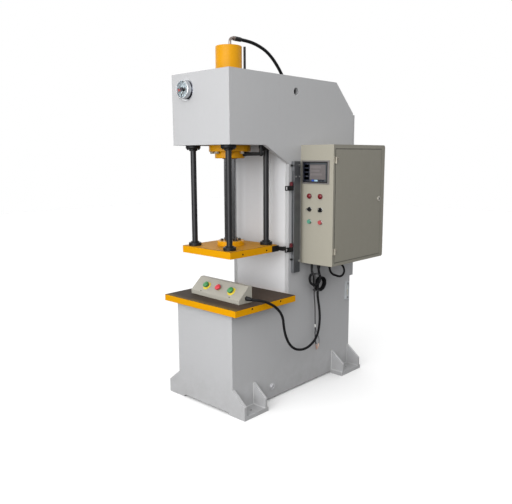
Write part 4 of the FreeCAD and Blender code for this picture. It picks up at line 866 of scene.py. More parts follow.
def two_part(name, first, second, pick, r1=(0.35, 0.5), r2=(0.3, 0.45), m1=0.0, m2=0.0, bump=0.08, spec=0.5):
    """One node, two finishes: pick(q) is 0 for the first and 1 for the second."""
    q = Mat(name)
    f = pick(q)
    c1 = q.mix(q.noise(40, 4), shade(first, 0.85), shade(first, 1.15))
    c2 = q.mix(q.noise(60, 4), shade(second, 0.85), shade(second, 1.15))
    bev = q.bevel(0.0008)
    col = q.mix(f, c1, c2)
    col = q.mix(q.math("MULTIPLY", q.edge(bev), 0.3), col, q.mix(f, shade(first, 1.7), shade(second, 1.7)))
    w = q.noise(70, 4)
    q.set(Base_Color=col, Roughness=q.mixf(f, q.remap(w, 0.3, 0.7, *r1), q.remap(w, 0.3, 0.7, *r2)), Metallic=q.mixf(f, m1, m2),
          Normal=q.bump(q.noise(800, 2), bump, 0.00015, bev))
    q.b.inputs["Specular IOR Level"].default_value = spec
    return q.m


def z_above(zmm):
    return lambda q: q.remap(q.xyz()[2], zmm / 1000.0, zmm / 1000.0 + 0.0001)


# faces turned to -Y take the lighter colour: a painted reflection on the rail's front, the other faces stay darker
def pick_rail_sheen_face(q):
    ny = q.normal_xyz()[1]
    return q.remap(ny, -0.6, -0.5, 1.0, 0.0)


M_RAIL = two_part("m_rail_faces", (0.118, 0.123, 0.131), (0.22, 0.226, 0.238), pick_rail_sheen_face, (0.35, 0.5), (0.3, 0.42), 0.7, 0.8)
M_COUPLING = Mat("m_coupling")
q = M_COUPLING
cy, ry, ny_ = paint_layers(q, YELLOW, var=0.05, dirt=0.06, low_dirt=False, edge_light=0.15, wear=0.4, edge_r=0.0016, rough=(0.24, 0.38))
f = q.remap(q.xyz()[2], 1.0371, 1.0372)
q.set(Base_Color=q.mix(f, cy, (0.07, 0.055, 0.045)), Roughness=ry, Metallic=q.mixf(f, 0.0, 0.9), Normal=ny_)
q.b.inputs["Specular IOR Level"].default_value = 0.14
M_COUPLING = q.m
def pick_fittings(q):
    """Bare steel above the head, apart from the black ferrule and the dark pipe beside the barrel."""
    x, y, z = q.xyz()
    high = q.remap(z, 2.0, 2.0001)
    ferrule = q.math("MULTIPLY", q.remap(z, 2.245, 2.2451), q.remap(y, -0.3215, -0.3214))
    elbow = q.math("MULTIPLY", high, q.math("SUBTRACT", 1.0, ferrule))
    return q.math("MULTIPLY", elbow, q.remap(x, -0.0300, -0.0299, 1.0, 0.0))


M_FITTINGS = two_part("m_fittings", (0.011, 0.011, 0.012), (0.25, 0.208, 0.19), pick_fittings, (0.34, 0.48), (0.22, 0.34), 0.1, 1.0, spec=0.25)
M_LEVEL = two_part("m_level_parts", (0.62, 0.65, 0.67), (0.42, 0.42, 0.42), lambda q: q.remap(q.xyz()[0], 0.17605, 0.1761), (0.3, 0.42), (0.3, 0.45), 0.35, 0.9)
M_RAILBOLT = two_part("m_rail_bolts", (0.04, 0.04, 0.04), (0.6, 0.6, 0.58), lambda q: q.remap(q.xyz()[1], -0.0695, -0.0690), (0.3, 0.45), (0.22, 0.36), 0.8, 1.0)


def sensor_mat(name, zc):
    """Bracket black; the knob above it dark red."""
    return two_part(name, (0.008, 0.008, 0.009), (0.085, 0.008, 0.013), z_above(zc + 15.05), (0.4, 0.55), (0.34, 0.46), spec=0.2)


def pick_gear(q):
    return q.remap(q.xyz()[0], 0.2315, 0.2316)


# cabinet gear: light trunking and plate, dark devices, told apart by where they are
q = Mat("m_gear_parts")
x, y, z = q.xyz()
plate = q.remap(x, 0.17295, 0.1730, 1.0, 0.0)
rail_like = q.remap(x, 0.1807, 0.1809, 1.0, 0.0)


def band(v, lo, hi):
    return q.math("MULTIPLY", q.remap(v, lo, lo + 0.0001), q.remap(v, hi, hi + 0.0001, 1.0, 0.0))


contactors = q.math("MULTIPLY", band(z, 1.085, 1.170), band(y, 0.180, 0.385))
relay = q.math("MULTIPLY", band(z, 1.065, 1.185), band(y, 0.400, 0.520))
supply_box = q.math("MULTIPLY", band(z, 1.345, 1.485), band(y, 0.180, 0.290))
plc = q.math("MULTIPLY", band(z, 1.355, 1.475), band(y, 0.300, 0.440))
terms = q.math("MULTIPLY", band(z, 0.950, 1.005), band(y, 0.170, 0.540))
col = q.mix(q.noise(30, 4), (0.50, 0.50, 0.48), (0.58, 0.58, 0.56))
col = q.mix(plate, col, (0.62, 0.62, 0.6))
col = q.mix(contactors, col, q.mix(q.noise(80, 4), (0.05, 0.05, 0.055), (0.08, 0.08, 0.085)))
col = q.mix(relay, col, (0.11, 0.12, 0.13))
col = q.mix(supply_box, col, (0.48, 0.49, 0.5))
col = q.mix(plc, col, (0.62, 0.62, 0.6))
stripe = q.math("GREATER_THAN", q.math("FRACT", q.math("MULTIPLY", y, 125.0)), 0.5)
col = q.mix(terms, col, q.mix(stripe, (0.33, 0.34, 0.34), (0.24, 0.25, 0.25)))
col = q.mix(q.math("MULTIPLY", rail_like, q.math("SUBTRACT", 1.0, plate)), col, (0.6, 0.6, 0.58))
bev = q.bevel(0.001)
q.set(Base_Color=col, Roughness=q.remap(q.noise(50, 4), 0.3, 0.7, 0.35, 0.5), Normal=q.bump(q.noise(900, 2), 0.08, 0.0001, bev))
M_GEAR = q.m

M["sensor_plastic"] = plastic("m_sensor", (0.016, 0.016, 0.017), rough=(0.35, 0.5), bump=0.05)
M["machined_steel"] = M_PLATEN
M["conduit_black"] = M_CONDUIT
M["cable_rubber"] = M_JACKET
M["hose_rubber"] = M_HOSE

for name, ob in NODES.items():
    for s in frame["record"]["subparts"]:
        if s["node"] == name:
            ob.data.materials.clear()
            ob.data.materials.append(M[s["material_slot"]])
            break


def dress(node, m):
    NODES[node].data.materials.clear()
    NODES[node].data.materials.append(m)


dress("work_table", M_TABLE)
dress("platen", M_PLATEN)
dress("gauge_case", M_GAUGE)
dress("gauge_set_pointer", M_SETP)
dress("button_plates", M_LEGEND)
dress("sensor_rail", M_RAIL)
dress("rod_coupling", M_COUPLING)
dress("hydraulic_fittings", M_FITTINGS)
dress("level_gauge", M_LEVEL)
# drain plug: frame-like paint made lighter, with strong edge brightening, as a painted highlight
dress("drain_plug", painted("m_plug_highlight", (0.5, 0.5, 0.52), var=0.04, dirt=0.15, edge_light=0.4, wear=0.4, edge_r=0.0012, rough=(0.32, 0.46)))
dress("rail_bolts", M_RAILBOLT)
dress("lower_sensor", sensor_mat("m_lower_sensor", 971.0))
dress("upper_sensor", sensor_mat("m_upper_sensor", 1366.0))
dress("control_gear", M_GEAR)
dress("striker_arm", M["dark_steel"])
M_MUSHROOM_GREEN = plastic("m_mushroom_green", (0.03, 0.2, 0.055), rough=(0.28, 0.4), var=0.06, bump=0.02, coat=0.2, edge_r=0.0012)
M_MUSHROOM_RED = plastic("m_mushroom_red", (0.5, 0.014, 0.03), rough=(0.28, 0.4), var=0.06, bump=0.02, coat=0.2, edge_r=0.0012)
# the throat plate takes the frame's paint made lighter: painted light inside the throat
M_THROAT_LIT = painted("m_throat_lit", (0.6, 0.603, 0.617), var=0.03, dirt=0.12, edge_light=0.3, wear=0.25, edge_r=0.003, rough=(0.38, 0.52))
dress("throat_plate", M_THROAT_LIT)
M_HINGE = metal("m_hinge", (0.34, 0.315, 0.26), metallic=0.35, spec=0.4, rough=(0.36, 0.5), grain_scale=300, var=0.1, bump=0.08)
dress("cabinet_hinges", M_HINGE)
dress("door_hinge_leaves", M_HINGE)
dress("cylinder_bolts", metal("m_flange_bolts", (0.42, 0.37, 0.28), metallic=0.9, rough=(0.3, 0.45), grain_scale=300, var=0.14, bump=0.1, spots=0.2))

# lock: chromed rim given a bright nickel colour with little metallic so it stays bright in shade, a painted glint,
# round a dark keyed core
q = Mat("m_lock")
x, y, z = q.xyz()
core_at = W(0, 1168.5, 1276)
yz = q.n("ShaderNodeCombineXYZ")
q.put(yz.inputs[1], y)
q.put(yz.inputs[2], z)
core = q.remap(q.distance(yz.outputs[0], (0.0, core_at.y, core_at.z)), 0.0090, 0.0092, 1.0, 0.0)
q.set(Base_Color=q.mix(core, q.mix(q.noise(60, 4), (0.66, 0.63, 0.56), (0.76, 0.73, 0.66)), q.mix(q.noise(90, 4), (0.03, 0.028, 0.02), (0.06, 0.055, 0.045))),
      Roughness=q.remap(q.noise(70, 4), 0.3, 0.7, 0.16, 0.28), Metallic=q.mixf(core, 0.35, 0.4), Normal=q.bump(q.noise(900, 2), 0.05, 0.0001, q.bevel(0.0012)))
dress("door_lock", q.m)

# cabinet: faces turned to +X, the door's side, take a darker copy of the paint as painted shade, and the gap round the
# door gets a painted shadow line with a little noise
SHADED_SIDE_PAINT = (0.235, 0.224, 0.186)
# the door takes the darker side paint: painted shade
M_DOOR_SHADED = painted("m_door_shaded", SHADED_SIDE_PAINT, var=0.03, dirt=0.1, low_dirt=False, edge_light=0.45, wear=0.15, edge_r=0.002,
                 peel=0.5, peel_scale=900, rough=(0.45, 0.6), spec=0.35)
dress("cabinet_door", M_DOOR_SHADED)
q = Mat("m_cabinet_shell")
cf, rf, nf = paint_layers(q, (0.325, 0.308, 0.254), var=0.03, dirt=0.1, low_dirt=False, edge_light=0.3, wear=0.15, edge_r=0.002,
                          peel=0.5, peel_scale=900, rough=(0.45, 0.6))
x, y, z = q.xyz()
# faces turned to +X take the darker paint: painted shade
side = q.remap(q.normal_xyz()[0], 0.55, 0.7)
tone = q.mix(q.noise(1.7, 4, 0.6), shade(SHADED_SIDE_PAINT, 0.97), shade(SHADED_SIDE_PAINT, 1.03))


def between(v, lo, hi):
    return q.math("MULTIPLY", q.remap(v, lo - 0.0004, lo + 0.0004), q.remap(v, hi - 0.0004, hi + 0.0004, 1.0, 0.0))


# dark line round the door: painted shadow in the gap, with some noise
gap_lo, gap_hi = W(0, 665.0 - 5.0, 895.0 - 5.0), W(0, 1192.0 + 7.0, 1607.0 + 6.0)
gap = q.math("MULTIPLY", between(y, gap_lo.y, gap_hi.y), between(z, gap_lo.z, gap_hi.z))
grime = q.math("MULTIPLY", gap, q.remap(q.noise(30, 4, 0.6), 0.2, 0.6, 0.7, 1.0), clamp=True)
q.set(Base_Color=q.mix(side, cf, q.mix(grime, tone, (0.07, 0.066, 0.055))), Roughness=rf, Normal=nf)
q.b.inputs["Specular IOR Level"].default_value = 0.35
dress("control_cabinet", q.m)
dress("console_button_left", M_MUSHROOM_GREEN)
dress("console_button_right", M_MUSHROOM_GREEN)
dress("console_stop_button", M_MUSHROOM_RED)

# ------------------------------------------------------------------ small pieces
M_INK = plastic("m_ink", (0.015, 0.015, 0.016), rough=(0.4, 0.5), bump=0.02, dust=0.0)
M_INK_RED = plastic("m_ink_red", (0.5, 0.02, 0.015), rough=(0.4, 0.5), bump=0.02, dust=0.0)
M_WELD = metal("m_weld", (0.46, 0.465, 0.465), metallic=0.0, rough=(0.38, 0.52), grain_scale=300, var=0.05, bump=0.2)
M_RUBBER = plastic("m_rubber", (0.014, 0.014, 0.014), rough=(0.5, 0.65), bump=0.15)
M_SCREW = M["zinc_steel"]
M_DARK_SCREW = M["bolt_black"]

# gauge dial: graduations and plain numbers
g = Geo()
GC = W(-115, -11.35, 1961)


def dial_mark(deg, r0, r1, w, mi=0):
    a = math.radians(deg)
    d = Vector((math.sin(a), 0, math.cos(a)))
    s = Vector((math.cos(a), 0, -math.sin(a)))
    pts = []
    for yy in (0.0, 0.00012):
        for r, sg in ((r0, -1), (r0, 1), (r1, 1), (r1, -1)):
            pts.append(GC + d * r + s * (sg * w / 2) + Vector((0, yy, 0)))
    g.hull(pts, mi)


for k in range(51):
    deg = -135 + 270 * k / 50
    if k % 10 == 0:
        dial_mark(deg, 0.0395, 0.0465, 0.0011)
    elif k % 5 == 0:
        dial_mark(deg, 0.0415, 0.0465, 0.0008)
    else:
        dial_mark(deg, 0.0437, 0.0465, 0.00045)
g.ring(GC + Vector((0, 0.00012, 0)), (0, -1, 0), [(0.0466, 0), (0.0472, 0), (0.0472, 0.00012), (0.0466, 0.00012)], 72, 0, False)
for k in range(12):
    dial_mark(92 + 3.55 * k, 0.0475, 0.0486, 0.0031, 1)
marks = g.make("gauge_graduations", [M_INK, M_INK_RED], "frame")


# the set pointer's broad red flag, just behind the glass
g = Geo()
for (r0, w0, r1, w1) in ((0.026, 0.006, 0.0455, 0.021),):
    a = math.radians(-92)
    d = Vector((math.sin(a), 0, math.cos(a)))
    e = Vector((math.cos(a), 0, -math.sin(a)))
    at = W(-115, -23.55, 1961)
    pts = []
    for yy in (0.0, -0.0006):
        for r, w in ((r0, w0), (r1, w1)):
            for sg in (-1, 1):
                pts.append(at + d * r + e * (sg * w / 2) + Vector((0, yy, 0)))
    g.hull(pts, 0)
g.make("set_pointer_flag", [M_INK_RED], "gauge_set_pointer")


def numeral(text, centre, size, name):
    cu = bpy.data.curves.new(name, "FONT")
    cu.body = text
    cu.size = size
    cu.align_x = "CENTER"
    cu.align_y = "CENTER"
    cu.extrude = 0.00008
    ob = link(bpy.data.objects.new(name, cu))
    me = bpy.data.meshes.new_from_object(ob)
    bpy.data.objects.remove(ob)
    bpy.data.curves.remove(cu)
    me.transform(Matrix.Translation(centre) @ Matrix.Rotation(math.radians(90), 4, "X"))
    me.materials.clear()
    me.materials.append(M_INK)
    o2 = link(bpy.data.objects.new(name, me))
    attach(o2, "frame")
    return o2


for k in range(6):
    a = math.radians(-135 + 54 * k)
    numeral(str(5 * k), GC + Vector((math.sin(a) * 0.0325, 0, math.cos(a) * 0.0325)), 0.0085, "dial_number_%d" % k)

# touch panel: an idle screen of plain fields, no lettering
g = Geo()
SX0, SX1, SZ0, SZ1 = 277.2, 460.8, 1405.2, 1524.8
YF = 635.5


def field(x0, x1, z0, z1, mi, t=0.25):
    g.box(W(x0, YF - t, z0), W(x1, YF + 0.05, z1), mi, 0.0001)


field(SX0 + 0.5, SX0 + 50, SZ0 + 0.5, SZ1 - 0.5, 0)
field(SX0 + 51, SX1 - 9, SZ0 + 15, SZ1 - 12, 1, 0.2)
for k in range(3):
    field(SX0 + 57, SX0 + 57 + (88, 70, 80)[k], SZ0 + 40 + 22 * k, SZ0 + 54 + 22 * k, 2)
for k in range(4):
    field(SX0 + 6, SX0 + 44, SZ0 + 12 + 26 * k, SZ0 + 30 + 26 * k, 5)
field(SX0 + 66, SX0 + 86, SZ0 + 2.5, SZ0 + 12.5, 4)
field(SX0 + 88, SX0 + 112, SZ0 + 2.5, SZ0 + 12.5, 3)
for k in range(2):
    field(SX0 + 120 + 24 * k, SX0 + 140 + 24 * k, SZ0 + 2.5, SZ0 + 12.5, 0)
glowm = []
for i, (nm, c) in enumerate((("dark", (0.010, 0.012, 0.022)), ("pane", (0.125, 0.112, 0.112)), ("cell", (0.155, 0.14, 0.14)), ("light", (0.32, 0.5, 0.62)), ("key", (0.02, 0.07, 0.4)), ("edge", (0.03, 0.04, 0.07)))):
    glowm.append(plastic("m_screen_" + nm, c, rough=(0.15, 0.25), bump=0.01, dust=0.0, coat=0.5))
g.make("screen_fields", glowm, "frame")
# black inner frame of the panel
g = Geo()
YB = 635.0
for x0, x1, z0, z1 in ((271, 277, 1399, 1531), (461, 467, 1399, 1531), (277, 461, 1525, 1531), (277, 461, 1399, 1405)):
    g.box(W(x0, YB - 0.6, z0), W(x1, YB + 0.2, z1), 0, 0.0002)
g.make("panel_inner_frame", [M["knob_black"]], "frame")

# selector marks
for nm, x in (("selector_left", 326.0), ("selector_right", 413.0)):
    g = Geo()
    if nm == "selector_left":
        g.box(W(x - 12.0, 642 - 25.35, 1228 - 0.9), W(x - 3.0, 642 - 24.9, 1228 + 0.9), 0, 0.0002)
    else:
        g.box(W(x - 0.9, 642 - 25.35, 1228 + 3.0), W(x + 0.9, 642 - 24.9, 1228 + 12.0), 0, 0.0002)
    g.make(nm + "_mark", [M_TAG], nm)

# button details: shallow rim round each cap
for nm, x in (("start_button", 326.0), ("stop_button", 413.0)):
    g = Geo()
    m = M["button_green"] if nm == "start_button" else M["button_red"]
    g.ring(W(x, 642 - 14.5, 1148), (0, -1, 0), [(0.0095, -0.0002), (0.0113, -0.0002), (0.0110, 0.0007), (0.0098, 0.0007)], 32, 0)
    g.make(nm + "_rim", [m], nm)

# console: cover screws, a lip round each mushroom cap
g = Geo()
for u, s in ((94.0, 3.2), (366.0, 5.4)):
    g.recess_head(on_slope(u, s + 2.0, 0.0), slope_n, 0.0036, 0.0021, "cross", 0.0042, 0.0014)
g.make("console_screws", [M_DARK_SCREW], "frame")
for nm, u in (("console_button_left", 116.5), ("console_stop_button", 234.0), ("console_button_right", 351.5)):
    g = Geo()
    g.ring(on_slope(u, 50.0, 16.0), slope_n, [(0.0198, -0.0012), (0.0204, -0.0008), (0.0204, 0.0012), (0.0198, 0.0016)], 40, 0)
    m = M_MUSHROOM_RED if "stop" in nm else M_MUSHROOM_GREEN
    g.make(nm + "_lip", [m], nm)

# cable ties on the loops of the conduit
def tie(name, centre, half_a, half_b, a_dir, b_dir, width_dir, tail):
    """Strap round a bundle: an oval of half-axes half_a, half_b, with its head and cut tail."""
    g = Geo()
    path = []
    for k in range(36):
        t = 2 * math.pi * k / 36
        ct_, st_ = math.cos(t), math.sin(t)
        e = 0.72
        path.append(centre + a_dir * (math.copysign(abs(ct_) ** e, ct_) * half_a) + b_dir * (math.copysign(abs(st_) ** e, st_) * half_b))
    g.band(path, width_dir, 0.0046, 0.0012, 0, True)
    head = centre + a_dir * (-half_a - 0.0012)
    rot = Matrix((a_dir, b_dir, width_dir)).transposed().to_4x4()
    g.box((-0.0028, -0.004, -0.0034), (0.0028, 0.004, 0.0034), 0, 0.0005, Matrix.Translation(head) @ rot)
    tl = [head + b_dir * 0.003]
    for p in tail:
        tl.append(head + a_dir * p[0] + b_dir * p[1] + width_dir * p[2])
    tl_line, _ = spaced(centreline(tl), 0.002)
    g.band(tl_line, width_dir, 0.0040, 0.0011, 0, False)
    return g.make(name, [M_TIE], "frame")


ax, ay, az = Vector((1, 0, 0)), Vector((0, 1, 0)), Vector((0, 0, 1))
tie("tie_upper", W(302.5, 757.5, 781.0), 0.0185, 0.0235, ay, ax, az, [(-0.012, 0.006, 0.002), (-0.026, 0.002, 0.006), (-0.038, -0.006, 0.004)])
tie("tie_lower", W(294.0, 765.0, 668.0), 0.0190, 0.0240, ay, ax, az, [(-0.010, 0.010, -0.002), (-0.020, 0.016, -0.006)])

# conduit end fittings: tapered sleeves at the console and under the cabinet
g = Geo()
cdir = (Vector(W(*CONDUIT[1])) - Vector(W(*CONDUIT[0]))).normalized()
g.ring(Vector(W(*CONDUIT[0])) + cdir * 0.000, cdir, [(0.0088, -0.001), (0.0122, -0.001), (0.0118, 0.006), (0.0102, 0.016), (0.0094, 0.022), (0.0088, 0.022)], 28, 0)
g.make("console_strain_relief", [M["gland_plastic"]], "frame")
g = Geo()
for (x, y, zt), r in (((306.0, 770.0, 836.0), 0.0088), ((352.0, 831.0, 836.0), 0.0079)):
    g.ring(W(x, y, zt), (0, 0, -1), [(r, -0.001), (r + 0.0034, -0.001), (r + 0.003, 0.006), (r + 0.0012, 0.018), (r, 0.018)], 28, 0)
g.ring(W(284.0, 1012.0, 822.0), (1, 0, 0), [(0.0079, -0.001), (0.0113, -0.001), (0.0109, 0.006), (0.0091, 0.016), (0.0079, 0.016)], 28, 0)
g.ring(W(285.0, 722.0, 844.0), (0, 0, -1), [(0.0043, -0.001), (0.0083, -0.001), (0.0081, 0.010), (0.0066, 0.030), (0.0052, 0.052), (0.0043, 0.052)], 24, 0)
g.make("gland_sleeves", [M["gland_plastic"]], "frame")

# hose ends: crimp rings on the ferrule, rubber grommet in the head's top plate
g = Geo()
for k in range(5):
    g.ring(W(0, 302 + 8.6 * k, 2279), (0, 1, 0), [(0.0130, 0), (0.01395, 0.0008), (0.01395, 0.0036), (0.0130, 0.0044)], 28, 0)
g.make("ferrule_crimps", [M_FITTINGS], "frame")
g = Geo()
prof = [(0.0195, -0.003), (0.0268, -0.003), (0.0268, 0.0003), (0.0330, 0.0003), (0.0335, 0.0022), (0.0318, 0.0038), (0.0215, 0.0044), (0.0195, 0.002)]
g.ring(W(0, 787.0, 2058), (0, 0, 1), prof, 40, 0)
g.make("hose_grommet", [M_RUBBER], "frame")

# seals: rod wiper, column wipers, bush screws
g = Geo()
g.ring(W(0, 244, 1555), (0, 0, -1), [(0.0389, -0.001), (0.0475, -0.001), (0.0465, 0.0032), (0.0415, 0.0042), (0.0389, 0.0030)], 48, 0)
for sx in (-1, 1):
    for y in (80.0, 408.0):
        g.ring(W(sx * 157, y, 1604), (0, 0, -1), [(0.0183, -0.001), (0.0255, -0.001), (0.0245, 0.0028), (0.0205, 0.0038), (0.0183, 0.0026)], 40, 0)
g.make("rod_wipers", [M_RUBBER], "frame")
g = Geo()
for sx in (-1, 1):
    for y in (80.0, 408.0):
        for k in range(4):
            a = math.radians(45 + 90 * k)
            g.recess_head(W(sx * 157 + 34.0 * math.cos(a), y + 34.0 * math.sin(a), 1613), (0, 0, -1), 0.0060, 0.006, "hex", 0.005, 0.003, spin=k)
g.make("bush_screws", [M["bolt_black"]], "frame")

# cabinet: hinge screws, leaf screws, lock core, door seal
g = Geo()
for zc in (966.0, 1540.0):
    for dz in (-13.0, -5.0):
        pass
    for yy in (648.5,):
        for dz in (-12.0, 12.0):
            g.recess_head(W(511.0, yy, zc + dz), (1, 0, 0), 0.0026, 0.0014, "cross", 0.0034, 0.001, spin=dz)
g.make("hinge_screws", [M_HINGE], "frame")
g = Geo()
for zc in (966.0, 1540.0):
    for dz in (6.0, 14.0):
        g.recess_head(W(513.0, 676.0, zc + dz), (1, 0, 0), 0.0026, 0.0014, "cross", 0.0034, 0.001, spin=dz)
        g.recess_head(W(513.0, 684.5, zc + dz), (1, 0, 0), 0.0026, 0.0014, "cross", 0.0034, 0.001, spin=dz + 1)
g.make("leaf_screws", [M_HINGE], "door")
g = Geo()
g.ring(W(516.1, 1168.5, 1276), (1, 0, 0), [(0.0064, -0.0004), (0.0074, -0.0004), (0.0074, 0.0005), (0.0064, 0.0005)], 32, 0)
g.lathe(W(514.2, 1168.5, 1276), (1, 0, 0), [(0.0045, 0), (0.0045, 0.0012), (0.0038, 0.0016)], 24, 1)
g.make("lock_face", [M["bezel_chrome"], M["knob_black"]], "lock")
g = Geo()
for (y0, y1, z0, z1) in ((684, 1180, 905.5, 912.5), (684, 1180, 1589.5, 1596.5), (684, 691, 912.5, 1589.5), (1173.6, 1180, 912.5, 1589.5)):
    g.box(W(504.5, y0, z0), W(508.8, y1, z1), 0, 0.0008)
# seal sits on the door's inner face, outside the rim
g2 = Geo()
for (y0, y1, z0, z1) in ((682.0, 1185.0, 903.0, 910.0), (682.0, 1185.0, 1592.0, 1599.0), (682.0, 689.0, 910.0, 1592.0), (1178.5, 1185.0, 910.0, 1592.0)):
    g2.box(W(506.2, y0, z0), W(508.95, y1, z1), 0, 0.0008)
g2.make("door_seal", [M_RUBBER], "door")

# level gauge: sight tube with its fluid and a red line behind it
q = Mat("m_fluid")
x, y, z = q.xyz()
fill = q.remap(z, 0.5985, 0.5987, 1.0, 0.0)
q.set(Base_Color=q.mix(fill, (0.72, 0.74, 0.72), q.mix(q.noise(90, 3), (0.56, 0.53, 0.42), (0.64, 0.61, 0.5))))
q.put(q.b.inputs["Roughness"], q.remap(q.noise(70, 3), 0.3, 0.7, 0.06, 0.14))
q.b.inputs["Coat Weight"].default_value = 0.7
q.b.inputs["Coat Roughness"].default_value = 0.04
g = Geo()
g.lathe(W(258.7, 1187, 552.3), (0, 0, 1), [(0.0018, 0), (0.0022, 0.0005), (0.0022, 0.0699), (0.0018, 0.0704)], 24, 0)
g.box(W(255.8, 1178.4, 584.0), W(256.3, 1195.6, 587.0), 1, 0.0001)
g.make("sight_tube", [q.m, M_INK_RED], "frame")

# weld beads along the feet, gussets and the table's seat
rng = random.Random(7)


def weld(g, a, b, r=0.0042):
    a, b = Vector(a), Vector(b)
    n = max(6, int((b - a).length / 0.0018))
    pts, rr = [], []
    for i in range(n + 1):
        t = i / n
        w_ = rng.uniform(-0.00025, 0.00025)
        pts.append(a.lerp(b, t) + Vector((w_, w_, w_)))
        k = r * (1.0 + 0.13 * abs(math.sin(math.pi * i / 2.3)) - 0.06)
        if i in (0, n):
            k *= 0.55
        rr.append(k)
    g.sweep(pts, rr, 8, 0, True)


g = Geo()
for sx in (-1, 1):
    xo, xi = sx * 351.5, sx * 250.0
    for y0, y1 in ((184, 200), (1012, 1028), (1209, 1225)):
        for yy in (y0, y1):
            if yy == 1225:
                continue
            weld(g, W(xi, yy, 27), W(xi, yy, 163))
            weld(g, W(xi + sx * 3, yy, 25), W(xo - sx * 4, yy, 25))
    weld(g, W(xi, 22, 25), W(xi, 182, 25))
    weld(g, W(xi, 1030, 25), W(xi, 1207, 25))
    weld(g, W(xi, 22, 27), W(xi, 22, 160), 0.0035)
    weld(g, W(xi, 24, 643), W(xi, 498, 643), 0.0038)
weld(g, W(-246, 0.5, 643), W(246, 0.5, 643), 0.0038)
g.make("weld_beads", [M_WELD], "frame")

# throat seams inside
g = Geo()
weld(g, W(-224, 519.5, 686), W(-224, 519.5, 1516), 0.0036)
weld(g, W(224, 519.5, 686), W(224, 519.5, 1516), 0.0036)
g.make("throat_welds", [M_WELD], "frame")

# ------------------------------------------------------------------ inside the cabinet: slots, screws and wires
M_TRUNK = plastic("m_trunk", (0.42, 0.42, 0.41), rough=(0.45, 0.6), var=0.04)
M_WIRES = [plastic("m_wire_%d" % i, c, rough=(0.35, 0.5), bump=0.02, dust=0.05) for i, c in enumerate(((0.02, 0.02, 0.022), (0.35, 0.02, 0.02), (0.02, 0.06, 0.3), (0.45, 0.42, 0.03)))]
g = Geo()
# the trunking walls' slots are thin black boxes: painted shade standing for the openings
for y0 in (740.0, 1170.0):
    for k in range(50):
        z0 = 938.0 + 12.8 * k
        for yy in (y0 - 0.35, y0 + 30.0 - 0.05):
            g.box(W(262.0, yy, z0), W(312.0, yy + 0.4, z0 + 5.0), 1)
    g.box(W(317.0, y0 - 1.0, 931.0), W(320.5, y0 + 31.0, 1579.0), 0, 0.0006)
g.box(W(317.0, 771.5, 1261.0), W(320.5, 1168.5, 1293.0), 0, 0.0006)
# slots along the horizontal run: thin black boxes, painted shade
for k in range(30):
    y0 = 776.0 + 12.9 * k
    for zz in (1261.65, 1291.95):
        g.box(W(262.0, y0, zz), W(312.0, y0 + 5.0, zz + 0.4), 1)
g.make("trunking_covers", [M_TRUNK, M["knob_black"]], "frame")
g = Geo()
for k in range(4):
    for j in range(3):
        for zz in (1097.0, 1158.0):
            g.recess_head(W(351.0, 806.5 + 52 * k + 13.5 * j + 3.0, zz), (1, 0, 0), 0.0032, 0.0012, "cross", 0.0044, 0.001, spin=k + j)
for k in range(22):
    g.recess_head(W(308.0, 798.0 + 16.2 * k, 988.0), (1, 0, 0), 0.0027, 0.0008, "slot", 0.0046, 0.0008, spin=k * 0.7)
    g.recess_head(W(308.0, 798.0 + 16.2 * k, 966.0), (1, 0, 0), 0.0027, 0.0008, "slot", 0.0046, 0.0008, spin=k * 1.3)
g.make("terminal_screws", [M_SCREW], "frame")
g = Geo()
for k in range(4):
    # a moulded step and a button on each contactor
    y0 = 800.0 + 52 * k
    g.box(W(350.9, y0 + 6, 1112), W(357.5, y0 + 39, 1143), 0, 0.0015)
    g.box(W(357.3, y0 + 17, 1121), W(359.5, y0 + 28, 1134), 1, 0.0006)
g.box(W(377.9, 806, 1358), W(379.6, 894, 1472), 2, 0.0005)
for k in range(8):
    g.box(W(379.5, 812 + 10 * k, 1385), W(379.9, 815 + 10 * k, 1450), 0)
g.box(W(355.9, 926, 1366), W(358.4, 1044, 1464), 2, 0.001)
for k in range(12):
    g.lathe(W(358.3, 934 + 8.6 * k, 1456), (1, 0, 0), [(0.0016, 0), (0.0016, 0.0005)], 12, 3)
g.box(W(335.9, 1028, 1080), W(339.5, 1122, 1170), 0, 0.0012)
g.make("device_fronts", [M["knob_black"], M_TAG, plastic("m_device", (0.5, 0.51, 0.52), rough=(0.4, 0.5)), M["button_green"]], "frame")
wires = Geo()
for k in range(16):
    y0 = 812.0 + 20.5 * k
    top = 1090.0 if k < 10 else 1072.0
    sway = rng.uniform(-6, 6)
    pts = [W(300, y0, 1001), W(301 + rng.uniform(0, 10), y0 + sway * 0.3, 1022), W(318 + rng.uniform(0, 14), y0 + sway, 1046), W(318 + rng.uniform(0, 10), y0 + sway * 0.6, 1066), W(325, y0 + 1, top)]
    ln, _ = spaced(centreline(pts), 0.005)
    wires.sweep(ln, 0.0013, 8, k % 4)
for k in range(12):
    y0 = 806.0 + 19.0 * k
    pts = [W(318, y0, 1166), W(318 + rng.uniform(0, 8), y0 + rng.uniform(-4, 4), 1196), W(308, y0 + rng.uniform(-6, 6), 1232), W(296, y0, 1261)]
    ln, _ = spaced(centreline(pts), 0.005)
    wires.sweep(ln, 0.0013, 8, (k + 1) % 4)
for k in range(14):
    y0 = 812.0 + 17.0 * k
    pts = [W(300, y0, 1293), W(309 + rng.uniform(0, 8), y0 + rng.uniform(-5, 5), 1314), W(306, y0 + rng.uniform(-3, 3), 1334), W(320, y0, 1352 if k < 6 else 1362)]
    ln, _ = spaced(centreline(pts), 0.005)
    wires.sweep(ln, 0.0012, 8, (k + 2) % 4)
wires.make("cabinet_wires", M_WIRES, "frame")

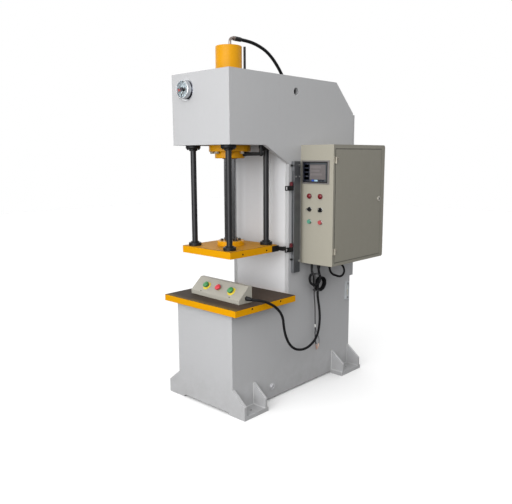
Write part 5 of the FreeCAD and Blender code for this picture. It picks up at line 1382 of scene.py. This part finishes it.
# ------------------------------------------------------------------ floor, light, world
FRONT, KEY, LEFT, SKY, GROUND = 74.0, 108.0, 12.0, 1.08, 0.12
q = Mat("m_floor")
q.set(Base_Color=q.mix(q.noise(0.8, 3), (0.91, 0.91, 0.91), (0.94, 0.94, 0.94)))
q.put(q.b.inputs["Roughness"], q.remap(q.noise(3.0, 3), 0.3, 0.7, 0.7, 0.85))
me = bpy.data.meshes.new("floor")
me.from_pydata([(-14, -14, 0), (14, -14, 0), (14, 14, 0), (-14, 14, 0)], [], [(0, 1, 2, 3)])
me.materials.append(q.m)
floor = link(bpy.data.objects.new("floor", me))
floor.visible_diffuse = False
floor.visible_glossy = False


def area_light(name, at, aim, size, energy, colour=(1, 1, 1)):
    d = bpy.data.lights.new(name, "AREA")
    d.shape = "RECTANGLE"
    d.size, d.size_y = size
    d.energy = energy
    d.color = colour
    o = link(bpy.data.objects.new(name, d))
    o.location = at
    o.rotation_mode = "QUATERNION"
    o.rotation_quaternion = (Vector(aim) - Vector(at)).to_track_quat("-Z", "Y")
    return o


area_light("front_panel", W(300, -3900, 1500), W(0, 100, 1200), (5.0, 3.0), FRONT)
area_light("window_key", W(1400, -2900, 1950), W(60, 100, 1250), (3.6, 3.4), KEY)
area_light("left_panel", (-4.6, 1.4, 1.9), (0.0, 0.0, 1.2), (2.6, 3.6), LEFT)

world = bpy.data.worlds.new("world")
SCENE.world = world
world.use_nodes = True
wt = world.node_tree
wt.nodes.clear()
wo = wt.nodes.new("ShaderNodeOutputWorld")
lit = wt.nodes.new("ShaderNodeBackground")
tc = wt.nodes.new("ShaderNodeTexCoord")
sep = wt.nodes.new("ShaderNodeSeparateXYZ")
wt.links.new(tc.outputs["Generated"], sep.inputs[0])
ml = wt.nodes.new("ShaderNodeMapRange")
ml.inputs["From Min"].default_value = -0.02
ml.inputs["From Max"].default_value = 0.02
ml.inputs["To Min"].default_value = GROUND
ml.inputs["To Max"].default_value = SKY
wt.links.new(sep.outputs[2], ml.inputs["Value"])
lit.inputs[0].default_value = (1.0, 1.0, 1.0, 1)
wt.links.new(ml.outputs["Result"], lit.inputs[1])
seen = wt.nodes.new("ShaderNodeBackground")
seen.inputs[0].default_value = (1.0, 1.0, 1.0, 1)
seen.inputs[1].default_value = 1.0
lp = wt.nodes.new("ShaderNodeLightPath")
mx = wt.nodes.new("ShaderNodeMixShader")
wt.links.new(lp.outputs["Is Camera Ray"], mx.inputs[0])
wt.links.new(lit.outputs[0], mx.inputs[1])
wt.links.new(seen.outputs[0], mx.inputs[2])
wt.links.new(mx.outputs[0], wo.inputs[0])

SCENE.view_settings.view_transform = "Standard"
SCENE.view_settings.look = "None"
SCENE.view_settings.exposure = 0.0
SCENE.view_settings.gamma = 1.0
